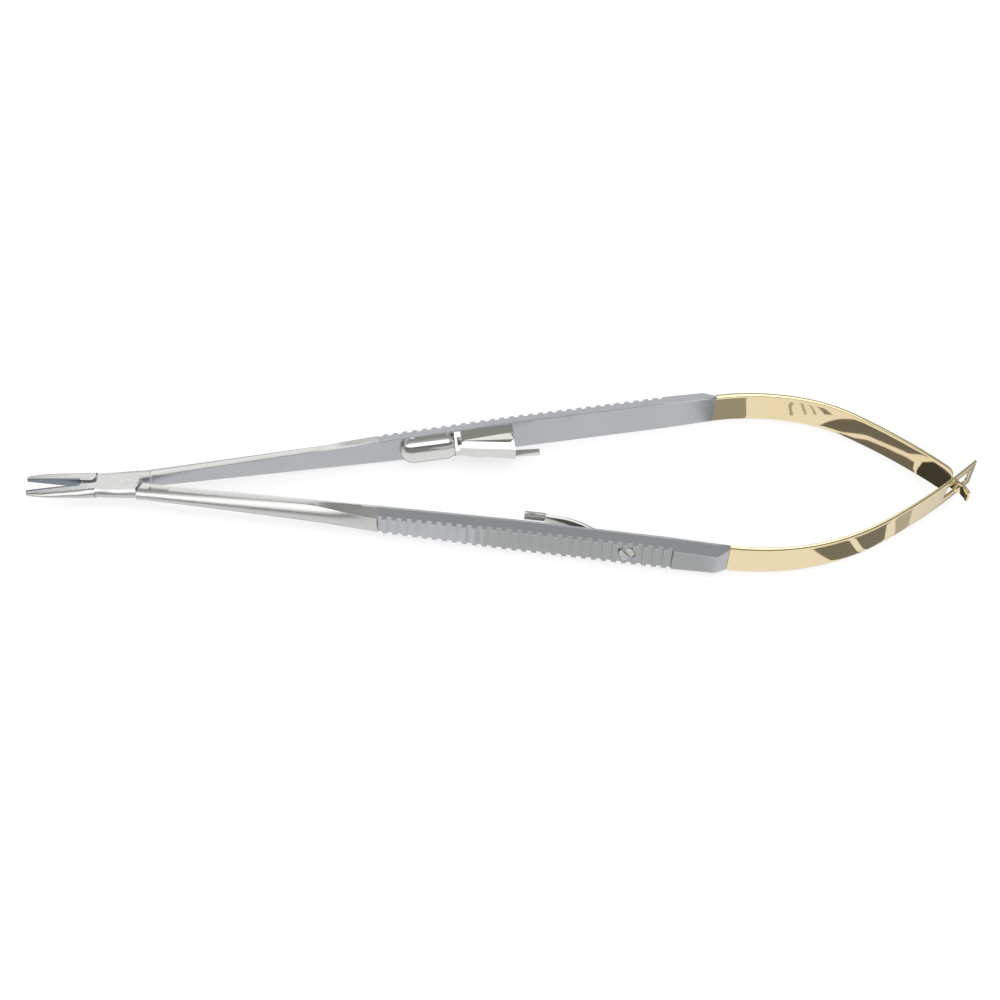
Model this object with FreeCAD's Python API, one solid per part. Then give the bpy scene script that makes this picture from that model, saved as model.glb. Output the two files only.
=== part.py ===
import FreeCAD, Part
import math
import os

from FreeCAD import Vector

# Surgical needle holder with spring handles, flat serrated grips and a box lock.
# It lies on its side: X runs along it (jaw tips at -X), Y is the way it opens,
# Z is the hinge axis. All sizes are millimetres, all angles degrees.
#
# Three working frames are used, all with the hinge axis as their Z axis:
# the closed frame, where the jaw faces meet on Y = 0; the arm frame, where X runs
# along the inner face of the upper arm, which is Y = 0, and +Y is its outer side;
# and the rest frame, where each half is turned open by HALF_OPENING.

# Opening and direction of the two halves
HALF_OPENING = 3.7
ARM_ANGLE = 4.6
ARM_FACE_OFFSET = 0.15

# Jaws
JAW_LENGTH = 16.9
JAW_TIP_WIDTH = 0.6
JAW_TIP_HEIGHT = 1.05
JAW_TIP_CROWN = 0.35
JAW_SWELL_AT = 13.4
JAW_SWELL_WIDTH = 1.35
JAW_SWELL_HEIGHT = 1.62
JAW_SWELL_CROWN = 0.56
JAW_ROOT_AT = 4.0
JAW_ROOT_WIDTH = 3.0
JAW_ROOT_HEIGHT = 2.22
JAW_ROOT_CROWN = 0.8
JAW_NOSE_RADIUS = 0.6
JAW_FACE_CLEARANCE = 0.02
INSERT_LENGTH = 10.1
INSERT_THICKNESS = 0.35

# Box lock
BOX_WIDTH = 3.0
BOX_REACH = 6.0
BOX_FRONT_HEIGHT = 2.12
BOX_CROWN = 0.7
CHEEK_FRONT_LOW = (-4.1, -0.3)
CHEEK_FRONT_HIGH = (-2.6, 1.25)
CHEEK_REAR_HIGH = (4.75, 0.4)
CHEEK_REAR_MIDDLE = (4.4, -0.65)
CHEEK_REAR_LOW = (3.5, -1.8)
CHEEK_ROOT = 5.2
SHOULDER_FRONT_LOW = (-4.6, -0.1)
SHOULDER_FRONT_HIGH = (-3.4, 1.45)
SHOULDER_REAR_HIGH = (4.85, -0.4)
SHOULDER_REAR_LOW = (3.95, -1.9)
TENON_THICKNESS = 1.44
TENON_HALF_LENGTH = 3.85
TENON_FLUSH_TURN = 7.1
TENON_CLEARANCE = 0.03
MORTISE_END_CLEARANCE = 0.42
PIN_RADIUS = 0.9
PIN_CLEARANCE = 0.03

# Shank, from the box to the grip
SHANK_START = 3.6
SHANK_STATIONS = 9
SHANK_START_WIDTH = 2.95
SHANK_SIDE_HEIGHT = 1.2
SHANK_CROWN = 1.15
SHANK_END_CROWN = 0.14
SHANK_FLARE_LENGTH = 14.0

# Serrated grip and its end block
GRIP_START = 49.27
GRIP_START_WIDTH = 6.6
GRIP_WIDTH = 8.1
GRIP_FULL_WIDTH_AT = 74.0
GRIP_HEIGHT = 2.4
GRIP_TOP_INSET = 1.0
GRIP_LAND = 0.45
TOOTH_COUNT = 29
TOOTH_PITCH = 1.856
TOOTH_WIDTH = 0.84
TOOTH_HEIGHT = 0.55
BLOCK_LENGTH = 8.0
BLOCK_SLOPE_LENGTH = 2.1

# Leaf springs, each in three arcs: lengths along the inner face, and turns towards the other arm
LEAF_WIDTH = 7.3
LEAF_THICKNESS = 0.9
LEAF_END_THICKNESS = 0.45
UPPER_LEAF_LENGTHS = (18.1, 8.4, 21.6)
UPPER_LEAF_TURNS = (22.9, 16.1, 11.4)
LOWER_LEAF_LENGTHS = (9.9, 19.7, 23.2)
LOWER_LEAF_TURNS = (11.6, 25.9, 12.0)
TONGUE_WIDTH = 2.8
TONGUE_LENGTHS = (2.3, 2.3)
TONGUE_TURNS = (0.0, 42.0)
TONGUE_CLEARANCE = 0.45
SHOULDER_RADIUS = 1.6
WINDOW_LENGTH = 6.2
WINDOW_END_BAR = 1.45

# Lock catch on the upper arm
CATCH_SETBACK = 3.83
CATCH_BOSS_LENGTH = 11.0
CATCH_BOSS_WIDTH = 7.2
CATCH_BOSS_HEIGHT = 2.15
CATCH_BOSS_CORNER = 2.2
CATCH_BOSS_BEVEL = 1.7
CATCH_RIB_SETBACK = 0.6
CATCH_RIB_LENGTH = 1.7
CATCH_RIB_HEIGHT = 2.25
CATCH_BASE_LENGTH = 10.5
CATCH_BASE_HEIGHT = 2.1
CATCH_NEAR_SIDE = 3.65
CATCH_FAR_SIDE = -3.2
CATCH_WAIST = -1.1
CATCH_WAIST_LENGTH = 4.0
CATCH_WAIST_END = -3.0
CAM_START_HEIGHT = 3.7
CAM_END_HEIGHT = 4.5
CAM_NOSE_WIDTH = 1.5
CAM_NEAR_OFFSET = 1.9
CAM_WAIST_AT = 4.0
CAM_WAIST = 0.3
CAM_FAR_OFFSET = -1.35
FINGER_LENGTH = 4.6
FINGER_OVERLAP = 1.2
FINGER_NEAR_OFFSET = 0.45
FINGER_WIDTH = 1.0
FINGER_THICKNESS = 0.85

# Hook spring on the lower arm, a strip that lies on the arm and then rises from it
HOOK_SETBACK = 3.9
HOOK_THICKNESS = 0.65
HOOK_WIDTH = 6.0
HOOK_BASE_LENGTH = 10.0
HOOK_BASE_BEVEL = 0.4
HOOK_RISE_LENGTHS = (1.7, 6.6, 2.5)
HOOK_RISE_TURNS = (-32.0, 24.0, 0.0)
HOOK_END_WIDTH = 2.2
HOOK_HEAD_LENGTH = 4.25
HOOK_HEAD_RADIUS = 0.82
HOOK_HEAD_LIFT = 0.6
HOOK_HEAD_OVERLAP = 0.4
HOOK_HEAD_BEVEL = 0.5

# The screw that holds each half of the lock to its arm
SCREW_HEAD_RADIUS = 1.55
SCREW_HEAD_HEIGHT = 0.8
SCREW_HEAD_SINK = 0.4
SCREW_SHANK_RADIUS = 0.8
SCREW_SEAT_CLEARANCE = 0.05
SCREW_SLOT_WIDTH = 0.45
SCREW_SLOT_DEPTH = 0.4
SCREW_SLOT_TURN = 55.0
SCREW_DEPTH_IN_CATCH = 1.6
CATCH_SCREW_SETBACK = 5.6
HOOK_SCREW_SETBACK = 4.5

# Places along the arm that follow from the sizes above
GROOVE_WIDTH = TOOTH_PITCH - TOOTH_WIDTH
GRIP_END = GRIP_START + TOOTH_COUNT * TOOTH_PITCH + GROOVE_WIDTH
BLOCK_END = GRIP_END + BLOCK_LENGTH
ARM_END = BLOCK_END + BLOCK_SLOPE_LENGTH
CATCH_START = GRIP_START + CATCH_SETBACK
CATCH_BASE_START = CATCH_START + CATCH_BOSS_LENGTH
CATCH_END = CATCH_BASE_START + CATCH_BASE_LENGTH
CATCH_SCREW_AT = CATCH_START + CATCH_SCREW_SETBACK
HOOK_REAR = GRIP_END - HOOK_SETBACK
HOOK_SCREW_AT = HOOK_REAR - HOOK_SCREW_SETBACK
SCREW_SEAT_FLOOR = GRIP_HEIGHT - TOOTH_HEIGHT + SCREW_HEAD_SINK - SCREW_HEAD_HEIGHT

# Longer than any cut has to reach
FAR = 40.0

AXIS_Z = Vector(0, 0, 1)
AXIS_Y = Vector(0, 1, 0)
ORIGIN = Vector(0, 0, 0)


def turned(shape, degrees):
    """A copy turned about the hinge axis."""
    copy = shape.copy()
    copy.rotate(ORIGIN, AXIS_Z, degrees)
    return copy


def flipped(shape):
    """The mirror image on the other side of the Y = 0 plane."""
    return shape.mirror(ORIGIN, AXIS_Y)


def polygon(points, low, high):
    """A flat outline of (x, y) points, extruded in Z from low to high."""
    corners = [Vector(x, y, low) for x, y in points]
    wire = Part.makePolygon(corners + corners[:1])
    return Part.Face(wire).extrude(Vector(0, 0, high - low))


def plan(points, low, high):
    """A flat outline of (x, z) points, extruded in Y from low to high."""
    corners = [Vector(x, low, z) for x, z in points]
    wire = Part.makePolygon(corners + corners[:1])
    return Part.Face(wire).extrude(Vector(0, high - low, 0))


def crowned_section(x, width, shoulder_width, side, height):
    """A flat-bottomed section across X: two sides and an arched top."""
    low_left = Vector(x, 0, -width / 2)
    low_right = Vector(x, 0, width / 2)
    high_right = Vector(x, side, shoulder_width / 2)
    high_left = Vector(x, side, -shoulder_width / 2)
    arch = Part.Arc(high_right, Vector(x, height, 0), high_left)
    return Part.Wire([
        Part.makeLine(low_left, low_right),
        Part.makeLine(low_right, high_right),
        arch.toShape(),
        Part.makeLine(high_left, low_left),
    ])


def bar_section(x, width, land, top_width, height):
    """The grip's section across X: square edges, sloping sides and a flat top."""
    half = width / 2
    top = top_width / 2
    points = [(0, -half), (0, half), (land, half), (height, top), (height, -top), (land, -half)]
    corners = [Vector(x, y, z) for y, z in points]
    return Part.makePolygon(corners + corners[:1])


def between(a, b, share):
    """The value that lies a share of the way from a to b."""
    return a + (b - a) * share


def smooth(share):
    """A share of 0 to 1 with a soft start and end."""
    share = min(max(share, 0.0), 1.0)
    return share * share * (3 - 2 * share)


def grip_width(x):
    """Width of the arm's inner face in the grip and its block."""
    if x > GRIP_END:
        return between(GRIP_WIDTH, LEAF_WIDTH, (x - GRIP_END) / (ARM_END - GRIP_END))
    share = min((x - GRIP_START) / (GRIP_FULL_WIDTH_AT - GRIP_START), 1.0)
    return between(GRIP_START_WIDTH, GRIP_WIDTH, share)


def shank():
    """The arched shank, which flares into the grip's flat top, in the arm frame."""
    sections = []
    for index in range(SHANK_STATIONS):
        share = index / (SHANK_STATIONS - 1)
        x = between(SHANK_START, GRIP_START, share)
        flare = smooth((x - GRIP_START + SHANK_FLARE_LENGTH) / SHANK_FLARE_LENGTH)
        width = between(SHANK_START_WIDTH, GRIP_START_WIDTH, share)
        top_width = width - 2 * GRIP_TOP_INSET * flare
        height = between(SHANK_SIDE_HEIGHT + SHANK_CROWN, GRIP_HEIGHT, flare)
        crown = between(SHANK_CROWN, SHANK_END_CROWN, flare)
        sections.append(crowned_section(x, width, top_width, height - crown, height))
    return Part.makeLoft(sections, True, False)


def grip():
    """The serrated grip with its smooth end block, in the arm frame."""
    sections = []
    for x in (GRIP_START, GRIP_FULL_WIDTH_AT, GRIP_END, BLOCK_END):
        width = grip_width(x)
        sections.append(bar_section(x, width, GRIP_LAND, width - 2 * GRIP_TOP_INSET, GRIP_HEIGHT))
    sections.append(bar_section(ARM_END, LEAF_WIDTH, GRIP_LAND, LEAF_WIDTH - GRIP_LAND, LEAF_THICKNESS))
    bar = Part.makeLoft(sections, True, True)
    grooves = []
    for index in range(TOOTH_COUNT + 1):
        corner = Vector(GRIP_START + index * TOOTH_PITCH, GRIP_HEIGHT - TOOTH_HEIGHT, -GRIP_WIDTH)
        grooves.append(Part.makeBox(GROOVE_WIDTH, GRIP_HEIGHT, 2 * GRIP_WIDTH, corner))
    return bar.cut(Part.makeCompound(grooves))


def arm():
    """Shank and grip of the upper arm in one piece, in the arm frame."""
    return shank().fuse(grip())


def to_closed(shape):
    """Moves a shape from the arm frame of the upper arm to the closed frame."""
    copy = shape.copy()
    copy.translate(Vector(0, -ARM_FACE_OFFSET, 0))
    return turned(copy, ARM_ANGLE)


def jaw_profile():
    """The upper jaw seen from the side: a blunt nose with a rounded outer corner."""
    share = JAW_NOSE_RADIUS / (JAW_LENGTH - JAW_SWELL_AT)
    height = between(JAW_TIP_HEIGHT, JAW_SWELL_HEIGHT, share)
    low = Vector(-JAW_LENGTH, height - JAW_NOSE_RADIUS, 0)
    high = Vector(-JAW_LENGTH + JAW_NOSE_RADIUS, height, 0)
    bulge = JAW_NOSE_RADIUS * (1 - math.sqrt(0.5))
    middle = Vector(-JAW_LENGTH + bulge, height - bulge, 0)
    far_corners = [Vector(high.x, FAR, 0), Vector(0, FAR, 0), ORIGIN, Vector(low.x, 0, 0)]
    straight = Part.makePolygon([high] + far_corners + [low])
    face = Part.Face(Part.Wire([Part.Arc(low, middle, high).toShape()] + straight.Edges))
    face.translate(Vector(0, 0, -JAW_ROOT_WIDTH))
    return face.extrude(Vector(0, 0, 2 * JAW_ROOT_WIDTH))


def jaw():
    """The upper jaw in the closed frame, with its face just above Y = 0."""
    stations = (
        (-JAW_LENGTH, JAW_TIP_WIDTH, JAW_TIP_HEIGHT, JAW_TIP_CROWN),
        (-JAW_SWELL_AT, JAW_SWELL_WIDTH, JAW_SWELL_HEIGHT, JAW_SWELL_CROWN),
        (-JAW_ROOT_AT, JAW_ROOT_WIDTH, JAW_ROOT_HEIGHT, JAW_ROOT_CROWN),
    )
    sections = [crowned_section(x, w, w, h - c, h) for x, w, h, c in stations]
    body = Part.makeLoft(sections, True, True)
    body.translate(Vector(0, JAW_FACE_CLEARANCE, 0))
    return body.common(jaw_profile())


def insert_slab():
    """The space that an insert takes up at the face of the upper jaw."""
    return Part.makeBox(
        INSERT_LENGTH + FAR, INSERT_THICKNESS + FAR, 2 * FAR,
        Vector(-JAW_LENGTH - FAR, JAW_FACE_CLEARANCE - FAR, -FAR))


def box_envelope():
    """The outer form of the box lock, arched on both outer faces, in the closed frame."""
    slope = math.tan(math.radians(ARM_ANGLE))
    wires = []
    for x in (-BOX_REACH, BOX_REACH):
        height = BOX_FRONT_HEIGHT + slope * (x + BOX_WIDTH)
        side = height - BOX_CROWN
        half = BOX_WIDTH / 2
        right = Part.makeLine(Vector(x, -side, half), Vector(x, side, half))
        left = Part.makeLine(Vector(x, side, -half), Vector(x, -side, -half))
        top = Part.Arc(Vector(x, side, half), Vector(x, height, 0), Vector(x, side, -half)).toShape()
        bottom = Part.Arc(Vector(x, -side, -half), Vector(x, -height, 0), Vector(x, -side, half)).toShape()
        wires.append(Part.Wire([right, top, left, bottom]))
    return Part.makeLoft(wires, True, True)


def box_with_mortise():
    """The slotted box of the female half: two cheeks that the tenon passes between."""
    outline = [
        (-CHEEK_ROOT, -FAR), (-CHEEK_ROOT, CHEEK_FRONT_LOW[1]), CHEEK_FRONT_LOW, CHEEK_FRONT_HIGH,
        (CHEEK_FRONT_HIGH[0] + JAW_NOSE_RADIUS, FAR), (CHEEK_ROOT, FAR), (CHEEK_ROOT, CHEEK_REAR_HIGH[1]),
        CHEEK_REAR_HIGH, CHEEK_REAR_MIDDLE, CHEEK_REAR_LOW, (CHEEK_REAR_LOW[0] - JAW_NOSE_RADIUS, -FAR),
    ]
    return polygon(outline, -BOX_WIDTH / 2, BOX_WIDTH / 2).common(box_envelope())


def mortise():
    """The slot through the box that the tenon turns in, open to the rear below the arm."""
    half = TENON_HALF_LENGTH + MORTISE_END_CLEARANCE
    width = TENON_THICKNESS + 2 * TENON_CLEARANCE
    slot = Part.makeBox(2 * half, 2 * FAR, width, Vector(-half, -FAR, -width / 2))
    rear = Part.makeBox(CHEEK_ROOT, FAR, width, Vector(0, -FAR, -width / 2))
    return slot.fuse(rear)


def tenon():
    """The middle of the male half, flush with the box once turned open."""
    end = TENON_HALF_LENGTH
    half = TENON_THICKNESS / 2
    front = polygon(
        [(-BOX_REACH, JAW_FACE_CLEARANCE), (-end, JAW_FACE_CLEARANCE), (-end, FAR), (-BOX_REACH, FAR)],
        -half, half)
    rear = polygon(
        [(end, -FAR), (BOX_REACH, -FAR), (BOX_REACH, SHOULDER_REAR_HIGH[1]), (end, -ARM_FACE_OFFSET)],
        -half, half)
    middle = polygon([(-end, -FAR), (end, -FAR), (end, FAR), (-end, FAR)], -half, half)
    middle = middle.common(turned(box_envelope(), TENON_FLUSH_TURN))
    return front.fuse(rear).common(box_envelope()).fuse(middle)


def pin(radius):
    """The box lock pin, or with a larger radius its bore."""
    return Part.makeCylinder(radius, BOX_WIDTH, Vector(0, 0, -BOX_WIDTH / 2), AXIS_Z)


def screw_seat(x):
    """The counterbore and hole in an arm for a lock screw, in the arm frame."""
    hole_radius = SCREW_SHANK_RADIUS + SCREW_SEAT_CLEARANCE
    sink_radius = SCREW_HEAD_RADIUS + SCREW_SEAT_CLEARANCE
    hole = Part.makeCylinder(hole_radius, SCREW_SEAT_FLOOR, Vector(x, 0, 0), AXIS_Y)
    sink = Part.makeCylinder(sink_radius, GRIP_HEIGHT, Vector(x, SCREW_SEAT_FLOOR, 0), AXIS_Y)
    return hole.fuse(sink)


def lock_screw(x, depth):
    """A slotted screw whose head sits in the arm and whose shank goes depth past its inner face."""
    slot_floor = SCREW_SEAT_FLOOR + SCREW_HEAD_HEIGHT - SCREW_SLOT_DEPTH
    head = Part.makeCylinder(SCREW_HEAD_RADIUS, SCREW_HEAD_HEIGHT, Vector(x, SCREW_SEAT_FLOOR, 0), AXIS_Y)
    body = Part.makeCylinder(SCREW_SHANK_RADIUS, SCREW_SEAT_FLOOR + depth, Vector(x, -depth, 0), AXIS_Y)
    slot = Part.makeBox(
        2 * GRIP_WIDTH, SCREW_SLOT_DEPTH, SCREW_SLOT_WIDTH,
        Vector(x - GRIP_WIDTH, slot_floor, -SCREW_SLOT_WIDTH / 2))
    slot.rotate(Vector(x, 0, 0), AXIS_Y, SCREW_SLOT_TURN)
    return head.fuse(body).cut(slot)


def female_half():
    """Lower jaw, slotted box and upper arm, in the closed frame."""
    lower_jaw = flipped(jaw().cut(insert_slab()))
    body = lower_jaw.fuse(box_with_mortise()).fuse(to_closed(arm()))
    body = body.cut(mortise()).cut(pin(PIN_RADIUS))
    return body.cut(to_closed(screw_seat(CATCH_SCREW_AT)))


def male_half():
    """Upper jaw, tenon and lower arm, in the closed frame."""
    behind_shoulder = polygon(
        [(SHOULDER_FRONT_LOW[0], -FAR), SHOULDER_FRONT_LOW, SHOULDER_FRONT_HIGH,
         (SHOULDER_FRONT_HIGH[0] + JAW_NOSE_RADIUS, FAR), (FAR, FAR), (FAR, -FAR)], -FAR, FAR)
    upper_jaw = jaw().cut(insert_slab()).cut(behind_shoulder)
    before_shoulder = polygon(
        [(-FAR, FAR), (SHOULDER_REAR_HIGH[0], FAR), SHOULDER_REAR_HIGH, SHOULDER_REAR_LOW,
         (SHOULDER_REAR_LOW[0] - JAW_NOSE_RADIUS, -FAR), (-FAR, -FAR)], -FAR, FAR)
    lower_arm = flipped(to_closed(arm().cut(screw_seat(HOOK_SCREW_AT)))).cut(before_shoulder)
    body = upper_jaw.fuse(tenon()).fuse(lower_arm)
    return body.cut(pin(PIN_RADIUS + PIN_CLEARANCE))


def run_point(start, heading, length, turn, share):
    """The point a share of the way along one run of a strip's inner face."""
    a = math.radians(heading)
    if not turn:
        return start + Vector(math.cos(a), math.sin(a), 0) * length * share
    radius = length / math.radians(turn)
    b = math.radians(heading - turn * share)
    return start + Vector(math.sin(a) - math.sin(b), math.cos(b) - math.cos(a), 0) * radius


def strip(start, heading, runs, thickness_at, width):
    """A bent strip of spring steel, with the end point and heading of its inner face."""
    inner = []
    outer = []
    way = 0.0
    for length, turn in runs:
        for edges, depth in ((inner, 0.0), (outer, 1.0)):
            points = []
            for share in (0.0, 0.5, 1.0):
                angle = math.radians(heading - turn * share)
                offset = depth * thickness_at(way + length * share)
                across = Vector(-math.sin(angle), math.cos(angle), 0) * offset
                points.append(run_point(start, heading, length, turn, share) + across)
            edge = Part.Arc(*points).toShape() if turn else Part.makeLine(points[0], points[2])
            edges.append(edge)
        start = run_point(start, heading, length, turn, 1.0)
        heading -= turn
        way += length
    first = Part.makeLine(inner[0].Vertexes[0].Point, outer[0].Vertexes[0].Point)
    last = Part.makeLine(inner[-1].Vertexes[-1].Point, outer[-1].Vertexes[-1].Point)
    face = Part.Face(Part.Wire(Part.__sortEdges__(inner + [last] + outer + [first])))
    face.translate(Vector(0, 0, -width / 2))
    return face.extrude(Vector(0, 0, width)), start, heading


def leaf(lengths, turns, width, broad_length):
    """A leaf spring that goes on from the end of the arm and gets thinner, in the arm frame."""
    def thickness_at(way):
        return between(LEAF_THICKNESS, LEAF_END_THICKNESS, min(way / broad_length, 1.0))

    return strip(Vector(ARM_END, 0, 0), 0.0, tuple(zip(lengths, turns)), thickness_at, width)


def along_heading(shape, point, heading):
    """Moves a shape drawn along X at the origin to a point, turned to a heading."""
    copy = turned(shape, heading)
    copy.translate(point)
    return copy


def upper_leaf_spring():
    """The leaf with round shoulders and a hooked tongue, in the arm frame."""
    broad_length = sum(UPPER_LEAF_LENGTHS)
    broad, end, heading = leaf(UPPER_LEAF_LENGTHS, UPPER_LEAF_TURNS, LEAF_WIDTH, broad_length)
    centre = Vector(-SHOULDER_RADIUS, -LEAF_WIDTH, LEAF_WIDTH / 2 - SHOULDER_RADIUS)
    corner = Part.makeBox(2 * SHOULDER_RADIUS, 2 * LEAF_WIDTH, 2 * SHOULDER_RADIUS, centre)
    corner = corner.cut(Part.makeCylinder(SHOULDER_RADIUS, 2 * LEAF_WIDTH, centre, AXIS_Y))
    corners = corner.fuse(corner.mirror(ORIGIN, AXIS_Z))
    tongue = leaf(
        UPPER_LEAF_LENGTHS + TONGUE_LENGTHS, UPPER_LEAF_TURNS + TONGUE_TURNS, TONGUE_WIDTH, broad_length)[0]
    return broad.cut(along_heading(corners, end, heading)).fuse(tongue).removeSplitter()


def lower_leaf_spring():
    """The leaf with a window that the tongue passes through, in the arm frame."""
    broad, end, heading = leaf(
        LOWER_LEAF_LENGTHS, LOWER_LEAF_TURNS, LEAF_WIDTH, sum(LOWER_LEAF_LENGTHS))
    width = TONGUE_WIDTH + 2 * TONGUE_CLEARANCE
    window = Part.makeBox(
        WINDOW_LENGTH, 2 * LEAF_WIDTH, width,
        Vector(-WINDOW_END_BAR - WINDOW_LENGTH, -LEAF_WIDTH, -width / 2))
    return broad.cut(along_heading(window, end, heading))


def catch_boss():
    """The boss of the catch: arched across, with two round corners and two bevelled ones."""
    half = CATCH_BOSS_WIDTH / 2
    radius = (half * half + CATCH_BOSS_HEIGHT * CATCH_BOSS_HEIGHT) / (2 * CATCH_BOSS_HEIGHT)
    rod = Part.makeCylinder(
        radius, CATCH_BOSS_LENGTH, Vector(CATCH_START, radius - CATCH_BOSS_HEIGHT, 0), Vector(1, 0, 0))
    side = half - CATCH_BOSS_CORNER
    front = CATCH_START + CATCH_BOSS_CORNER
    bevel = CATCH_BASE_START - CATCH_BOSS_BEVEL
    outline = plan(
        [(CATCH_START, -side), (front, -side), (front, -half), (bevel, -half),
         (CATCH_BASE_START, CATCH_BOSS_BEVEL - half), (CATCH_BASE_START, half - CATCH_BOSS_BEVEL),
         (bevel, half), (front, half), (front, side), (CATCH_START, side)], -CATCH_BOSS_HEIGHT, 0)
    for z in (-side, side):
        centre = Vector(front, -CATCH_BOSS_HEIGHT, z)
        outline = outline.fuse(Part.makeCylinder(CATCH_BOSS_CORNER, CATCH_BOSS_HEIGHT, centre, AXIS_Y))
    return rod.common(outline)


def catch_cam():
    """The sloping cam on the base of the catch, and the finger that goes on from it."""
    slope = (CAM_END_HEIGHT - CAM_START_HEIGHT) / CATCH_BASE_LENGTH
    finger_start = CATCH_END - FINGER_OVERLAP
    finger_end = CATCH_END + FINGER_LENGTH
    start_top = -CAM_START_HEIGHT - slope * (finger_start - CATCH_BASE_START)
    end_top = -CAM_START_HEIGHT - slope * (finger_end - CATCH_BASE_START)
    finger = polygon(
        [(finger_start, start_top), (finger_end, end_top), (finger_end, end_top + FINGER_THICKNESS),
         (finger_start, start_top + FINGER_THICKNESS)], FINGER_NEAR_OFFSET - FINGER_WIDTH, FINGER_NEAR_OFFSET)
    cam = plan(
        [(CATCH_BASE_START, CATCH_NEAR_SIDE), (CATCH_END, CAM_NEAR_OFFSET), (CATCH_END, CAM_FAR_OFFSET),
         (CATCH_BASE_START + CAM_WAIST_AT, CAM_WAIST), (CATCH_BASE_START, CATCH_NEAR_SIDE - CAM_NOSE_WIDTH)],
        -CAM_END_HEIGHT, -CATCH_BASE_HEIGHT)
    above = polygon(
        [(CATCH_BASE_START, -CAM_START_HEIGHT), (CATCH_END, -CAM_END_HEIGHT),
         (CATCH_BASE_START, -CAM_END_HEIGHT)], CATCH_FAR_SIDE, CATCH_NEAR_SIDE)
    return cam.cut(above).fuse(finger)


def lock_catch():
    """Boss, rib, base, cam and finger of the catch, in the arm frame of the upper arm."""
    base = plan(
        [(CATCH_BASE_START, CATCH_NEAR_SIDE), (CATCH_END, CATCH_NEAR_SIDE), (CATCH_END, CATCH_FAR_SIDE),
         (CATCH_BASE_START + CATCH_WAIST_LENGTH, CATCH_WAIST_END), (CATCH_BASE_START, CATCH_WAIST)],
        -CATCH_BASE_HEIGHT, 0)
    rib = Part.makeBox(
        CATCH_RIB_LENGTH, CATCH_RIB_HEIGHT, CATCH_NEAR_SIDE - CATCH_WAIST,
        Vector(CATCH_BASE_START - CATCH_RIB_SETBACK, -CATCH_RIB_HEIGHT, CATCH_WAIST))
    hole = Part.makeCylinder(
        SCREW_SHANK_RADIUS, SCREW_DEPTH_IN_CATCH, Vector(CATCH_SCREW_AT, -SCREW_DEPTH_IN_CATCH, 0), AXIS_Y)
    body = catch_boss().fuse(rib).fuse(base).fuse(catch_cam()).removeSplitter()
    return body.cut(hole)


def hook_head(start):
    """The round head of the hook, with a bevelled rear end, along X from its start."""
    end = start.x + HOOK_HEAD_LENGTH
    low = start.y - HOOK_HEAD_RADIUS
    high = start.y + HOOK_HEAD_RADIUS
    rod = Part.makeCylinder(HOOK_HEAD_RADIUS, HOOK_HEAD_LENGTH, start, Vector(1, 0, 0))
    return rod.common(polygon(
        [(start.x, high), (start.x, low), (end - HOOK_HEAD_BEVEL, low), (end, start.y),
         (end - HOOK_HEAD_BEVEL, high)], -HOOK_HEAD_RADIUS, HOOK_HEAD_RADIUS))


def lock_hook_spring():
    """Flat base, rising leaf and round head of the hook, in the arm frame of its arm."""
    runs = ((HOOK_BASE_LENGTH, 0.0),) + tuple(zip(HOOK_RISE_LENGTHS, HOOK_RISE_TURNS))
    blade, end, heading = strip(
        Vector(HOOK_REAR, 0, 0), 180.0, runs, lambda way: HOOK_THICKNESS, HOOK_WIDTH)
    half = HOOK_WIDTH / 2
    end_half = HOOK_END_WIDTH / 2
    taper_start = HOOK_REAR - HOOK_BASE_LENGTH
    taper = plan(
        [(end.x - HOOK_HEAD_LENGTH, -end_half), (end.x, -end_half), (taper_start, -half), (HOOK_REAR, -half),
         (HOOK_REAR, half), (taper_start, half), (end.x, end_half), (end.x - HOOK_HEAD_LENGTH, end_half)],
        -FAR, FAR)
    bevel = polygon(
        [(HOOK_REAR, -HOOK_THICKNESS), (HOOK_REAR, HOOK_BASE_BEVEL - HOOK_THICKNESS),
         (HOOK_REAR - HOOK_BASE_BEVEL, -HOOK_THICKNESS)], -half, half)
    head_start = Vector(end.x + HOOK_HEAD_OVERLAP - HOOK_HEAD_LENGTH, end.y - HOOK_HEAD_LIFT, 0)
    hole = Part.makeCylinder(
        SCREW_SHANK_RADIUS, HOOK_THICKNESS, Vector(HOOK_SCREW_AT, -HOOK_THICKNESS, 0), AXIS_Y)
    return blade.common(taper).cut(bevel).fuse(hook_head(head_start)).cut(hole)


def at_rest(shape, side):
    """Turns a shape from the closed frame to rest: side 1 is the female half, -1 the male."""
    return turned(shape, side * HALF_OPENING)


def on_upper_arm(shape):
    """Places a piece drawn in the arm frame on the upper arm at rest."""
    return at_rest(to_closed(shape), 1)


def on_lower_arm(shape):
    """Places a piece drawn in the arm frame on the lower arm at rest."""
    return at_rest(flipped(to_closed(shape)), -1)


def make_nodes():
    """All pieces at rest, by node name, around the hinge axis."""
    insert = jaw().common(insert_slab())
    return {
        "female_half": at_rest(female_half(), 1),
        "male_half": at_rest(male_half(), -1),
        "box_lock_pin": at_rest(pin(PIN_RADIUS), 1),
        "lower_jaw_insert": at_rest(flipped(insert), 1),
        "upper_jaw_insert": at_rest(insert, -1),
        "upper_leaf_spring": on_upper_arm(upper_leaf_spring()),
        "lower_leaf_spring": on_lower_arm(lower_leaf_spring()),
        "lock_catch": on_upper_arm(lock_catch()),
        "lock_catch_screw": on_upper_arm(lock_screw(CATCH_SCREW_AT, SCREW_DEPTH_IN_CATCH)),
        "lock_hook_spring": on_lower_arm(lock_hook_spring()),
        "lock_hook_screw": on_lower_arm(lock_screw(HOOK_SCREW_AT, HOOK_THICKNESS)),
    }


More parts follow.
